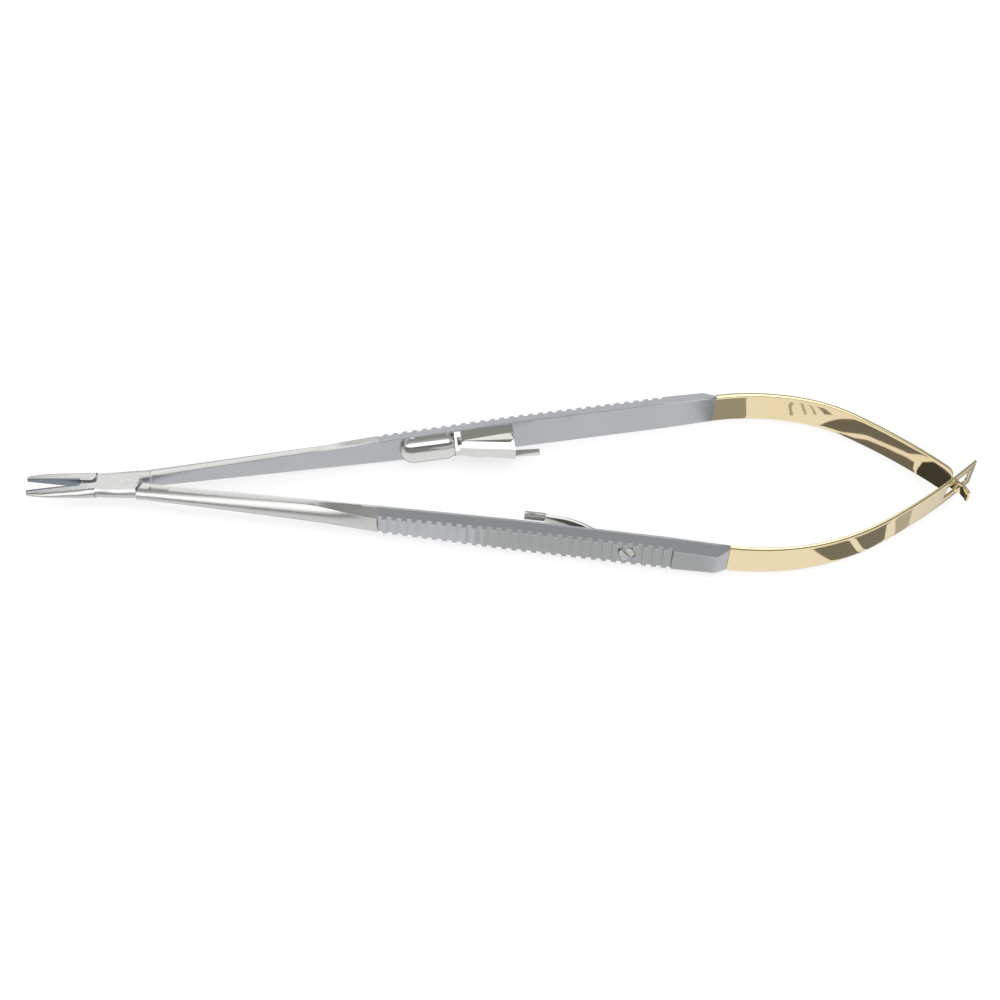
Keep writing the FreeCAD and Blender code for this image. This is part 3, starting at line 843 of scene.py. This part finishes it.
    def blend_box(self, piece: Solid) -> None:
        """Runs the box's outside into the shank's, and the jaw's outside into the box's."""
        matrix = self.layout.placement(self.side)
        back = matrix.inverted()
        slope = Matrix.Rotation(math.radians(self.layout.arm_angle), 3, "Z")
        self.slice_box_end(piece, matrix)

        def move(place: Vector) -> Vector:
            """Gives a point its new place."""
            spot = back @ place
            if spot.x > self.shank_start:
                edge = self.width(spot.x) / 2
                share = smooth((spot.x - self.shank_start) / (self.box_end - self.shank_start))
                if abs(spot.z) > edge:
                    spot.z = math.copysign(between(abs(spot.z), edge, share), spot.z)
            if spot.x > self.shank_start and spot.y > self.outside_from:
                crown = self.shank_crown
                radius = (edge * edge + crown * crown) / (2 * crown)
                fall = radius - math.sqrt(max(radius * radius - spot.z * spot.z, 0.0))
                limit = self.shank_side + crown - fall + self.box_rise * (1 - share)
                past_box = spot.x > self.box_end + self.box_margin
                on_crown = spot.y > self.shank_side + CLOSE
                spot.y = limit if past_box and on_crown else min(spot.y, limit)
            jaw = slope @ spot
            start, end = self.jaw_root
            if self.side is Side.UPPER and start < jaw.x < end and jaw.y < -self.jaw_outside:
                spot.y -= jaw.y * self.jaw_drop * smooth((jaw.x - start) / self.jaw_root_run)
            return matrix @ spot

        Bench.reshape(piece, move)

    def front(self) -> tuple[Solid, list[float]]:
        """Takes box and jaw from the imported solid.

        Returns:
            The piece before the seam, and the crown's point places at the seam.
        """
        piece = Bench.take(bpy.data.objects[self.node], self.node + "_front")
        matrix = self.layout.placement(self.side)
        seam = matrix @ Vector((self.seam_at, 0, 0))
        Bench.cut(piece, seam, turned(matrix, (1, 0, 0)), fill=False)
        self.blend_box(piece)
        back = matrix.inverted()
        ring = [back @ vertex.co for vertex in piece.data.vertices]
        ring = [place for place in ring if abs(place.x - self.seam_at) < CLOSE]
        crown = [place for place in ring if place.y > self.shank_side - 2 * CLOSE]
        edge = max(place.z for place in crown)
        ratios = sorted({round(place.z / edge, 4) for place in crown}, reverse=True)
        return piece, ratios

    def build(self) -> Solid:
        """Builds the whole half and places it."""
        front, ratios = self.front()
        LOG.info("%s: %d points across the crown", self.node, len(ratios))
        Bench.round_edges(front, self.box_rounding * MILLIMETRE, 2)
        bar = self.bar(ratios)
        Bench.round_edges(bar, self.rounding, 2, self.rounded_turn)
        self.drill_seat(bar)
        self.layout.place(bar, self.side)
        half = Bench.join([front, bar], self.node + "_forging")
        self.weld_seam(half)
        Bench.deliver(half, SATIN_STEEL, self.node, self.body)
        self.brush(half)
        return half

    def brush(self, half: Solid) -> None:
        """Gives jaw, box and the shank's outside the brushed finish, up to the first groove."""
        half.data.materials.append(BRUSHED_STEEL.material())
        back = self.layout.placement(self.side).inverted()
        for face in half.data.polygons:
            x = (back @ face.center).x
            inner = turned(back, face.normal).y < -0.5
            if x < self.shank_start or (x < self.grip_start + CLOSE and not inner):
                face.material_index = 1


@dataclass
class LeafSpring(ArmPiece):
    """A bent leaf spring that goes on from the end of an arm."""

    arm_body: str
    runs: Runs
    start: float = 114.21
    width: float = 7.3
    thickness: float = 0.9
    end_thickness: float = 0.45
    rounding: float = 0.11
    step: float = 0.4
    flex_length: float = 14.0

    def length(self) -> float:
        """Gives the length of the broad leaf."""
        return sum(run[0] for run in self.runs)

    def path(self) -> Runs:
        """Gives the runs that the whole strip follows."""
        return self.runs

    def stations(self) -> list[float]:
        """Gives the places along the strip where it has a row of points."""
        return spread(0.0, self.length(), round(self.length() / self.step))

    def rows(self, way: float) -> list[float]:
        """Gives the places across the strip at a way along it."""
        half = self.width / 2
        return spread(-half, half, 8)

    def thinning(self, way: float) -> float:
        """Gives the share of its first thickness that the leaf keeps at a way along it."""
        return between(1.0, self.end_thickness / self.thickness, min(max(way / self.length(), 0.0), 1.0))

    def open(self, strip: Solid) -> None:
        """Cuts what the flat strip has to have cut."""

    def build(self) -> Solid:
        """Builds the leaf, bends it and places it."""
        strip = Bench.plate(self.node + "_strip", self.stations(), self.rows, self.thickness)
        self.open(strip)
        Bench.round_edges(strip, self.rounding, 3)

        bend_strip(strip, (self.start, 0.0), 0.0, self.path(), self.thinning)
        self.layout.place(strip, self.side)
        Bench.finish_surface(strip)
        GOLD_PLATE.dress(strip)
        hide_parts(self.node)
        matrix = self.layout.placement(self.side)
        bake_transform(strip)
        return strip


@dataclass
class TongueLeaf(LeafSpring):
    """The leaf with round shoulders and a hooked tongue."""

    tongue_width: float = 2.8
    tongue_runs: Runs = ((2.3, 0.0), (2.3, 42.0))
    shoulder_radius: float = 1.6
    root_fillet: float = 0.25
    tip_corner: float = 0.4

    def path(self) -> Runs:
        """Gives the runs of the leaf and of its tongue."""
        return self.runs + self.tongue_runs

    def outline(self) -> list[tuple[float, float]]:
        """Gives ways along the strip with half its width there, past the even part."""
        end = self.length()
        shoulder = end - self.shoulder_radius
        tongue = self.tongue_width / 2
        tip = end + sum(run[0] for run in self.tongue_runs)
        points = []
        for angle in spread(0.0, 80.0, 9):
            turn = math.radians(angle)
            way = shoulder + self.shoulder_radius * math.sin(turn)
            points.append((way, self.width / 2 - self.shoulder_radius * (1 - math.cos(turn))))
        points.append((end, tongue + self.root_fillet))
        for angle in (30.0, 60.0, 90.0):
            turn = math.radians(angle)
            points.append((end + self.root_fillet * (1 - math.cos(turn)),
                           tongue + self.root_fillet * (1 - math.sin(turn))))
        points += [(way, tongue) for way in spread(end + self.root_fillet, tip - self.tip_corner, 16)[1:]]
        for angle in (30.0, 60.0, 80.0):
            turn = math.radians(angle)
            points.append((tip - self.tip_corner * (1 - math.sin(turn)),
                           tongue - self.tip_corner * (1 - math.cos(turn))))
        return points

    def stations(self) -> list[float]:
        """Gives even places, with finer ones round the shoulders and on the tongue."""
        shoulder = self.length() - self.shoulder_radius
        even = spread(0.0, shoulder, round(shoulder / self.step))
        return even[:-1] + [way for way, half in self.outline()]

    def rows(self, way: float) -> list[float]:
        """Gives even places across, closer on the shoulders and on the tongue."""
        outline = self.outline()
        half = self.width / 2
        for (first, before), (last, after) in zip(outline, outline[1:]):
            if way > first:
                half = between(before, after, min((way - first) / (last - first), 1.0))
        return spread(-half, half, 8)


@dataclass
class WindowLeaf(LeafSpring):
    """The leaf with a window that the tongue passes through."""

    window_length: float = 6.2
    window_width: float = 3.7
    end_bar: float = 1.45

    def edges(self) -> tuple[float, float]:
        """Gives where the window starts and ends."""
        end = self.length() - self.end_bar
        return end - self.window_length, end

    def stations(self) -> list[float]:
        """Gives even places that meet the ends of the window."""
        first, last = self.edges()
        before = spread(0.0, first, round(first / self.step))
        beside = spread(first, last, round((last - first) / self.step))
        return before + beside[1:] + spread(last, self.length(), 4)[1:]

    def rows(self, way: float) -> list[float]:
        """Gives places across that meet the sides of the window."""
        half = self.width / 2
        side = self.window_width / 2
        return [-half, -(half + side) / 2, -side, -side / 3, side / 3, side, (half + side) / 2, half]

    def open(self, strip: Solid) -> None:
        """Opens the window and closes its walls."""
        first, last = self.edges()
        side = self.window_width / 2
        Bench.edit(strip)
        Bench.select_faces(
            strip, lambda middle, normal: first < middle.x < last and abs(middle.z) < side - CLOSE)
        bpy.ops.mesh.delete(type="FACE")
        bpy.ops.mesh.select_mode(type="EDGE")
        bpy.ops.mesh.select_all(action="DESELECT")
        bpy.ops.mesh.select_non_manifold(extend=False)
        bpy.ops.mesh.bridge_edge_loops()
        Bench.done(outward=True)


@dataclass
class LockScrew(ArmPiece):
    """The slotted screw that holds one half of the lock to its arm."""

    at: float
    depth: float
    head_radius: float = 1.55
    head_height: float = 0.8
    shank_radius: float = 0.8
    slot_width: float = 0.45
    slot_depth: float = 0.4
    slot_turn: float = 55.0
    rounding: float = 0.1
    head_rounding: float = 0.1 / 3
    rounded_turn: float = 50.0
    dome: Runs = ((0.26, 1.0), (0.2, 0.985), (0.15, 0.95), (0.1, 0.88), (0.05, 0.7), (0.01, 0.4), (0.0, 0.12))

    def head(self, top: float) -> Solid:
        """Builds the domed head up to a height."""
        sections = []
        for drop, share in ((self.head_height, 1.0), *self.dome):
            height = top - drop
            radius = self.head_radius * share
            sections.append([
                (self.at + radius * math.cos(angle), height, radius * math.sin(angle))
                for angle in spread(0.0, 2 * math.pi, 64)[:-1]])
        return Bench.loft("head", sections)

    def build(self) -> Solid:
        """Builds the screw and places it."""
        seat = self.layout.screw_seat
        top = seat + self.head_height
        head = self.head(top)
        side = self.slot_width / 2
        slot = Bench.block("slot", (-3, top - self.slot_depth, -side), (3, top + 1, side))
        turn = Matrix.Rotation(math.radians(self.slot_turn), 4, "Y")
        slot.data.transform(Matrix.Translation((self.at, 0, 0)) @ turn)
        Bench.drill(head, slot)
        Bench.round_edges(head, self.head_rounding, 2, self.rounded_turn)
        shank = Bench.rod(
            "shank", self.shank_radius, (self.at, -self.depth, 0), (self.at, seat, 0), 40)
        Bench.round_edges(shank, self.rounding, 2)
        screw = Bench.join([head, shank], self.node + "_slotted")
        self.layout.place(screw, self.side)
        return Bench.deliver(screw, POLISHED_STEEL, self.node, self.body)


@dataclass
class HookSpring(ArmPiece):
    """Flat base, rising leaf and round head of the lock's hook."""

    rear: float = 100.21
    thickness: float = 0.65
    width: float = 6.0
    base_length: float = 10.0
    base_bevel: float = 0.4
    rise_runs: Runs = ((1.7, -32.0), (6.6, 24.0), (2.5, 0.0))
    end_width: float = 2.2
    head_length: float = 4.25
    head_radius: float = 0.82
    head_lift: float = 0.6
    head_overlap: float = 0.4
    head_bevel: float = 0.5
    screw_way: float = 4.5
    screw_radius: float = 0.8
    rounding: float = 0.1
    head_rounding: float = 0.12

    def runs(self) -> Runs:
        """Gives the runs of base and rise."""
        return ((self.base_length, 0.0),) + self.rise_runs

    def length(self) -> float:
        """Gives the length of the blade."""
        return sum(run[0] for run in self.runs())

    def rows(self, way: float) -> list[float]:
        """Gives the places across the blade, which tapers from the base on."""
        share = max(way - self.base_length, 0.0) / (self.length() - self.base_length)
        half = between(self.width, self.end_width, share) / 2
        return spread(-half, half, 6)

    def blade(self) -> Solid:
        """Builds the bent blade with its screw hole."""
        base = spread(0.0, self.base_length, 10)
        rise = spread(self.base_length, self.length(), 36)
        blade = Bench.plate("blade", base + rise[1:], self.rows, self.thickness)

        def chamfer(place: Vector) -> Point:
            """Lowers the rear edge of the outer face."""
            low = place.x < CLOSE and place.y > self.thickness / 2
            return (place.x, self.thickness - self.base_bevel if low else place.y, place.z)

        Bench.reshape(blade, chamfer)
        Bench.round_edges(blade, self.rounding, 3)
        way = self.screw_way
        Bench.drill(blade, Bench.rod(
            "hole", self.screw_radius, (way, -1, 0), (way, self.thickness + 1, 0), 40))
        bend_strip(blade, (self.rear, 0.0), 180.0, self.runs(), lambda way: 1.0)
        return blade

    def head(self) -> Solid:
        """Builds the round head with its wedge-shaped rear end."""
        x, y = follow((self.rear, 0.0), 180.0, self.runs(), self.length(), 0.0)
        start = Vector((x + self.head_overlap - self.head_length, y - self.head_lift, 0))
        end = start + Vector((self.head_length, 0, 0))
        head = Bench.rod("head", self.head_radius, tuple(start), tuple(end))
        for way in (-1, 1):
            normal = Vector((self.head_radius, way * self.head_bevel, 0)).normalized()
            Bench.cut(head, end, normal)
        Bench.round_edges(head, self.head_rounding, 3)
        return head

    def build(self) -> Solid:
        """Builds the hook and places it."""
        blade = self.blade()
        Bench.edit(blade)
        Bench.done(outward=True)
        hook = Bench.join([blade, self.head()], self.node + "_bent")
        self.layout.place(hook, self.side)
        return Bench.deliver(hook, POLISHED_STEEL, self.node, self.body)


@dataclass
class RoundedSolid:
    """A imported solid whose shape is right, with its edges rounded as the real one's are."""

    node: str
    name: str
    body: str
    finish: MetalFinish
    rounding: float = 0.04

    def build(self) -> Solid:
        """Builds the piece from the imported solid."""
        piece = Bench.take(bpy.data.objects[self.node], self.name)
        Bench.round_edges(piece, self.rounding * MILLIMETRE)
        return Bench.deliver(piece, self.finish, self.node, self.body)


@dataclass
class LockCatch(ArmPiece):
    """The arched boss of the catch, made anew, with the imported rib, base, cam and finger."""

    start: float = 53.1
    length: float = 11.0
    width: float = 7.2
    height: float = 2.12
    nose: float = 2.9
    tail: float = 1.7
    tail_narrowing: float = 0.45
    tail_drop: float = 0.16
    tail_lip: float = 0.3
    tail_edge: tuple[float, float] = (0.985, 0.995)
    tail_end: float = 0.05
    tail_steps: tuple[float, ...] = (0.33, 0.66, 1.0)
    arch_power: float = 0.82
    nose_powers: tuple[float, float] = (0.9, 0.75)
    rib_setback: float = 0.6
    facet_ends: tuple[float, float] = (-2.0, 0.55)
    rib_facet: tuple[tuple[float, float], ...] = ((-3.0, -0.35), (0.3, 4.05), (-3.0, 4.05))
    base_height: float = 2.1
    base_side: float = 3.65
    base_end: float = 74.6
    base_drop: float = 0.47
    corner_reach: float = 0.05
    rounding: float = 0.14

    def arch(self, x: float, half: float, height: float) -> list[Point]:
        """Gives a section across the boss, arched like the outside of a barrel."""
        points = []
        for angle in spread(0.0, math.pi, 32):
            share = math.cos(angle)
            rise = math.sin(angle) ** self.arch_power
            points.append((x, -height * rise if 0 < angle < math.pi - 1e-6 else 0.0, half * share))
        return points

    def boss(self) -> Solid:
        """Builds the boss, with a round domed nose and a bevelled tail."""
        half = self.width / 2
        wide, high = self.nose_powers
        sections = []
        for angle in spread(8.0, 90.0, 16):
            turn = math.radians(angle)
            x = self.start + self.nose * (1 - math.cos(turn))
            sections.append(self.arch(x, half * math.sin(turn) ** wide, self.height * math.sin(turn) ** high))
        tail = self.start + self.length - self.tail
        sections.append(self.arch(tail - self.tail_lip, half, self.height))
        sections.append(self.arch(tail, half * self.tail_edge[0], self.height * self.tail_edge[1]))
        for share in self.tail_steps:
            sections.append(self.arch(
                tail + (self.tail - self.tail_end) * share, half * (1 - self.tail_narrowing * share),
                self.height * (1 - self.tail_drop * share)))
        return Bench.loft("boss", sections)

    def slope_base(self, rest: Solid, matrix: Matrix) -> None:
        """Lowers the far corner of the base's edge, so that the strip beside the cam slopes."""
        back = matrix.inverted()

        def move(place: Vector) -> Vector:
            """Gives a point its new place."""
            spot = back @ place
            corner = Vector((self.base_end, -self.base_height, self.base_side))
            if (spot - corner).length < self.corner_reach:
                spot.y += self.base_drop
            return matrix @ spot

        Bench.reshape(rest, move)

    def build(self) -> Solid:
        """Builds the catch and places it."""
        rest = Bench.take(bpy.data.objects[self.node], "rest")
        matrix = self.layout.placement(self.side)
        self.slope_base(rest, matrix)
        facet = Bench.loft("facet", [
            [(x, y, z) for y, z in self.rib_facet]
            for x in (self.start + self.length + end for end in self.facet_ends)])
        self.layout.place(facet, self.side)
        Bench.drill(rest, facet)
        seam = matrix @ Vector((self.start + self.length - self.rib_setback, 0, 0))
        Bench.cut(rest, seam, turned(matrix, (-1, 0, 0)))
        Bench.round_edges(rest, self.rounding * MILLIMETRE, 3)
        boss = self.boss()
        self.layout.place(boss, self.side)
        catch = Bench.join([rest, boss], self.node + "_milled")
        return Bench.deliver(catch, POLISHED_STEEL, self.node, self.body)


# Grey cards under the floor, which only the metal mirrors. The wide one tones the lower grip. The
# springs show the others as the dark patches and stripes of a polished strip
CARDS = (
    ("card_grip", ((-7.0, -12.0), (38.0, -19.0), (38.0, -60.0), (-7.0, -55.0)), 0.75),
    ("card_lower_front", ((60.9, -24.4), (63.9, -24.8), (70.6, -21.6), (69.7, -13.8), (65.1, -16.9)), 0.22),
    ("card_lower_middle", ((72.3, -20.6), (81.2, -13.3), (74.2, -11.6), (70.9, -13.0)), 0.22),
    ("card_lower_rear", ((82.9, -12.4), (85.8, -8.8), (78.0, -8.0), (76.0, -9.6)), 0.5),
    ("card_upper_front", ((42.0, 4.4), (50.0, 4.4), (48.2, 15.0), (42.0, 15.0)), 0.36),
    ("card_upper_ripple_a", (
        (54.6, 7.7), (54.7, 6.6), (55.1, 6.4), (55.1, 8.2), (55.8, 9.8), (55.3, 10.1)), 0.45),
    ("card_upper_ripple_b", ((55.6, 5.9), (55.8, 5.7), (57.4, 8.6), (57.1, 8.8)), 0.45),
    ("card_upper_ripple_c", ((56.4, 5.5), (56.6, 5.4), (58.3, 7.8), (58.1, 8.0)), 0.45),
    ("card_upper_ripple_d", ((57.2, 5.6), (57.9, 5.7), (59.3, 6.5), (58.8, 7.1)), 0.25),
    ("card_upper_bend", (
        (59.6, 10.2), (60.2, 6.1), (61.5, 3.3), (64.6, 1.4), (68.7, -1.3), (70.9, -3.9), (71.4, -2.2),
        (70.6, 0.4), (67.6, 2.9), (64.7, 5.2), (62.4, 8.4)), 0.18),
    ("card_upper_edge", (
        (62.6, 10.4), (63.2, 8.9), (65.6, 5.7), (68.4, 3.4), (71.4, 1.1), (72.7, 0.3), (76.4, 2.4),
        (70.9, 6.9), (66.0, 10.0)), 0.18),
    ("card_upper_end", (
        (74.2, 0.3), (72.9, -1.2), (73.2, -3.4), (75.8, -5.0), (79.0, -6.2), (82.0, -2.0),
        (77.1, 2.6)), 0.06),
)


@dataclass
class Studio:
    """Floor, world, lamps and camera."""

    target: Point = (-0.6555, -3.8707, 4.05)
    azimuth: float = -2.3657
    elevation: float = 57.479
    roll: float = 1.5707
    distance: float = 371.133
    lens: float = 71.667
    brightest: float = 2.0
    bands: Runs = (
        (-180.0, 0.95), (180.0, 0.95), (-160.0, 0.8), (-138.0, 0.1), (-108.0, 0.1), (-96.0, 0.8),
        (-84.0, 1.0), (-58.0, 1.0), (-40.0, 1.0), (-31.0, 0.34), (-20.0, 0.24), (-9.0, 1.2), (3.0, 1.9),
        (30.0, 1.9), (42.0, 0.9), (55.0, 0.5), (70.0, 0.45), (92.0, 0.36), (122.0, 0.34), (150.0, 0.55))
    olive_below: float = 0.4
    ends_power: float = 4.0
    ends_colour: str = "#8C8C8C"
    floor_size: float = 4.0
    floor_colour: str = "#F4F4F4"
    floor_glow: float = 0.7
    card_depth: float = 6.0
    softboxes: tuple[tuple[str, Point, float, float], ...] = (
        ("top_softbox", (0.0, 0.1, 0.9), 0.9, 5.0), ("front_softbox", (-0.5, -0.6, 0.5), 0.6, 2.0))
    strip_lights: tuple[tuple[str, Point, float, float, float], ...] = (
        ("shank_light", (-0.135, 0.25, 0.26), 0.2, 0.3, 1.0),
        ("spring_light", (0.085, 0.2, 0.3), 0.1, 0.1, 1.6))

    def camera(self) -> bpy.types.Object:
        """Sets the camera at the photograph's viewing angle."""
        a = math.radians(self.azimuth)
        e = math.radians(self.elevation)
        back = Vector((math.sin(a) * math.cos(e), -math.cos(a) * math.cos(e), math.sin(e)))
        right = Vector((0, 0, 1)).cross(back).normalized()
        up = back.cross(right)
        roll = math.radians(self.roll)
        across = right * math.cos(roll) + up * math.sin(roll)
        upward = up * math.cos(roll) - right * math.sin(roll)
        data = bpy.data.cameras.new("camera")
        data.lens = self.lens
        data.sensor_width = 36.0
        data.clip_start = 0.01
        camera = bpy.data.objects.new("camera", data)
        turn = Matrix((across, upward, back)).transposed().to_4x4()
        spot = (Vector(self.target) + back * self.distance) * MILLIMETRE
        camera.matrix_world = Matrix.Translation(spot) @ turn
        bpy.context.scene.collection.objects.link(camera)
        bpy.context.scene.camera = camera
        return camera

    def floor(self) -> Solid:
        """Lays the pale floor, which the metal doesn't mirror."""
        floor = Bench.start("floor", bpy.ops.mesh.primitive_plane_add, size=self.floor_size)
        material = bpy.data.materials.new("pale_floor")
        tree = empty_tree(material)
        matt = add_node(tree, "ShaderNodeBsdfDiffuse", {"Color": linear(self.floor_colour)})
        glow = add_node(tree, "ShaderNodeEmission", {"Color": (1, 1, 1, 1), "Strength": 1.0})
        seen = add_node(tree, "ShaderNodeLightPath")
        share = add_node(
            tree, "ShaderNodeMath", {0: seen.outputs["Is Camera Ray"], 1: self.floor_glow},
            operation="MULTIPLY")
        mix = add_node(
            tree, "ShaderNodeMixShader",
            {0: share.outputs[0], 1: matt.outputs[0], 2: glow.outputs[0]})
        add_node(tree, "ShaderNodeOutputMaterial", {"Surface": mix.outputs[0]})
        floor.data.materials.append(material)
        floor.visible_glossy = False
        return floor

    def world(self) -> bpy.types.World:
        """Sets the room: white to the eye, with bright and dark bands where the metal mirrors it.

        The bands run along the instrument. Their angle is 0 at the front, 90 overhead, 180 behind
        and -90 underneath, and towards the two ends of the room they fade to one grey.
        """
        world = bpy.data.worlds.new("room")
        bpy.context.scene.world = world
        tree = empty_tree(world)
        way = add_node(tree, "ShaderNodeTexCoord").outputs["Generated"]
        parts = add_node(tree, "ShaderNodeSeparateXYZ", {0: way})
        front = add_node(tree, "ShaderNodeMath", {0: parts.outputs["Y"], 1: -1.0}, operation="MULTIPLY")
        angle = add_node(
            tree, "ShaderNodeMath", {0: parts.outputs["Z"], 1: front.outputs[0]}, operation="ARCTAN2")
        place = add_node(
            tree, "ShaderNodeMapRange",
            {"Value": angle.outputs[0], "From Min": -math.pi, "From Max": math.pi})
        bands = add_node(tree, "ShaderNodeValToRGB", {"Fac": place.outputs["Result"]})
        ramp = bands.color_ramp
        for index, (turn, level) in enumerate(self.bands):
            position = (turn + 180.0) / 360.0
            stop = ramp.elements[index] if index < 2 else ramp.elements.new(position)
            stop.position = position
            share = level / self.brightest
            olive = (share * 0.96, share, share * 0.93, 1.0)
            stop.color = olive if level < self.olive_below else (share, share, share, 1.0)
        ends = add_node(
            tree, "ShaderNodeMath", {0: parts.outputs["X"], 1: self.ends_power}, operation="POWER")
        mirrored = add_node(
            tree, "ShaderNodeMix",
            {"Factor": ends.outputs[0], "A": bands.outputs["Color"], "B": linear(self.ends_colour)},
            data_type="RGBA")
        room = add_node(
            tree, "ShaderNodeBackground", {"Color": mirrored.outputs["Result"], "Strength": self.brightest})
        white = add_node(tree, "ShaderNodeBackground", {"Color": (1, 1, 1, 1), "Strength": 1.0})
        seen = add_node(tree, "ShaderNodeLightPath")
        mix = add_node(
            tree, "ShaderNodeMixShader",
            {0: seen.outputs["Is Glossy Ray"], 1: white.outputs[0], 2: room.outputs[0]})
        add_node(tree, "ShaderNodeOutputWorld", {"Surface": mix.outputs[0]})
        return world

    def card(self, name: str, corners: Sequence[tuple[float, float]], level: float) -> Solid:
        """Lays a grey card under the floor, which only the metal mirrors.

        Args:
            name: Name of the card.
            corners: Its outline seen from above, in millimetres.
            level: Its brightness.

        Returns:
            The card.
        """
        card = Bench.start(
            name, bpy.ops.mesh.primitive_circle_add, vertices=len(corners), radius=1.0, fill_type="NGON")
        for vertex, (x, y) in zip(card.data.vertices, corners):
            vertex.co = (x * MILLIMETRE, y * MILLIMETRE, -self.card_depth * MILLIMETRE)
        material = bpy.data.materials.new(name)
        tree = empty_tree(material)
        glow = add_node(tree, "ShaderNodeEmission", {"Color": (1, 1, 0.96, 1), "Strength": level})
        add_node(tree, "ShaderNodeOutputMaterial", {"Surface": glow.outputs[0]})
        card.data.materials.append(material)
        card.visible_camera = False
        card.visible_diffuse = False
        card.visible_transmission = False
        card.visible_shadow = False
        return card

    def lamp(self, name: str, place: Point, size: float, power: float) -> bpy.types.Object:
        """Adds a square lamp that looks at the middle of the instrument.

        Args:
            name: Name of the lamp.
            place: Where it stands, in metres.
            size: Its side, in metres.
            power: Its power in watts.

        Returns:
            The lamp.
        """
        data = bpy.data.lights.new(name, "AREA")
        data.size = size
        data.energy = power
        lamp = bpy.data.objects.new(name, data)
        lamp.location = place
        lamp.visible_glossy = False
        lamp.rotation_euler = (-Vector(place)).to_track_quat("-Z", "Y").to_euler()
        bpy.context.scene.collection.objects.link(lamp)
        return lamp

    def strip_light(self, name: str, place: Point, width: float, height: float, level: float) -> None:
        """Adds a near lamp that only the metal mirrors.

        Args:
            name: Name of the lamp.
            place: Where it stands, in metres.
            width: Its size along the instrument, in metres.
            height: Its size across that, in metres.
            level: Its brightness, where 1 is white.
        """
        lamp = self.lamp(name, place, width, level * math.pi * width * height)
        lamp.data.shape = "RECTANGLE"
        lamp.data.size_y = height
        lamp.rotation_euler = (-Vector((0, *place[1:]))).to_track_quat("-Z", "Y").to_euler()
        lamp.visible_glossy = True
        lamp.visible_diffuse = False

    def build(self) -> None:
        """Sets up the whole studio."""
        self.camera()
        self.floor()
        self.world()
        for name, place, size, power in self.softboxes:
            self.lamp(name, place, size, power)
        for name, place, width, height, level in self.strip_lights:
            self.strip_light(name, place, width, height, level)
        for name, corners, level in CARDS:
            self.card(name, corners, level)


def report(piece: Solid) -> None:
    """Reports a finished piece and the size of its mesh."""
    LOG.info("%s: %d faces", piece.name, len(piece.data.polygons))


def main() -> None:
    """Builds the studio and every piece of the needle holder."""
    logging.basicConfig(level=logging.INFO, format="%(message)s")
    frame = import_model()
    bpy.context.scene.view_settings.view_transform = "Standard"
    Studio().build()
    layout = Layout()
    arms = (
        ArmForging(layout, Side.UPPER, "female_half", "catch_half", layout.catch_screw),
        ArmForging(layout, Side.LOWER, "male_half", "hook_half", layout.hook_screw),
    )
    leaves = (
        TongueLeaf(layout, Side.UPPER, "upper_leaf_spring", "upper_leaf", "catch_half",
                   ((18.1, 22.9), (8.4, 16.1), (21.6, 11.4))),
        WindowLeaf(layout, Side.LOWER, "lower_leaf_spring", "lower_leaf", "hook_half",
                   ((9.9, 11.6), (19.7, 25.9), (23.2, 12.0))),
    )
    screws = (
        LockScrew(layout, Side.UPPER, "lock_catch_screw", "catch_half", layout.catch_screw, depth=1.6),
        LockScrew(layout, Side.LOWER, "lock_hook_screw", "hook_half", layout.hook_screw, depth=0.65),
    )
    solids = (
        RoundedSolid("lower_jaw_insert", "lower_jaw_insert_ground", "catch_half", HARD_METAL),
        RoundedSolid("upper_jaw_insert", "upper_jaw_insert_ground", "hook_half", HARD_METAL),
    )
    hook = HookSpring(layout, Side.LOWER, "lock_hook_spring", "hook_half")
    catch = LockCatch(layout, Side.UPPER, "lock_catch", "catch_half")
    for assembly in (*arms, *leaves, *screws, *solids, hook, catch):
        report(assembly.build())
    pin = frame["nodes"]["box_lock_pin"]
    BRUSHED_STEEL.dress(pin)
    report(pin)


if __name__ == "__main__":
    main()
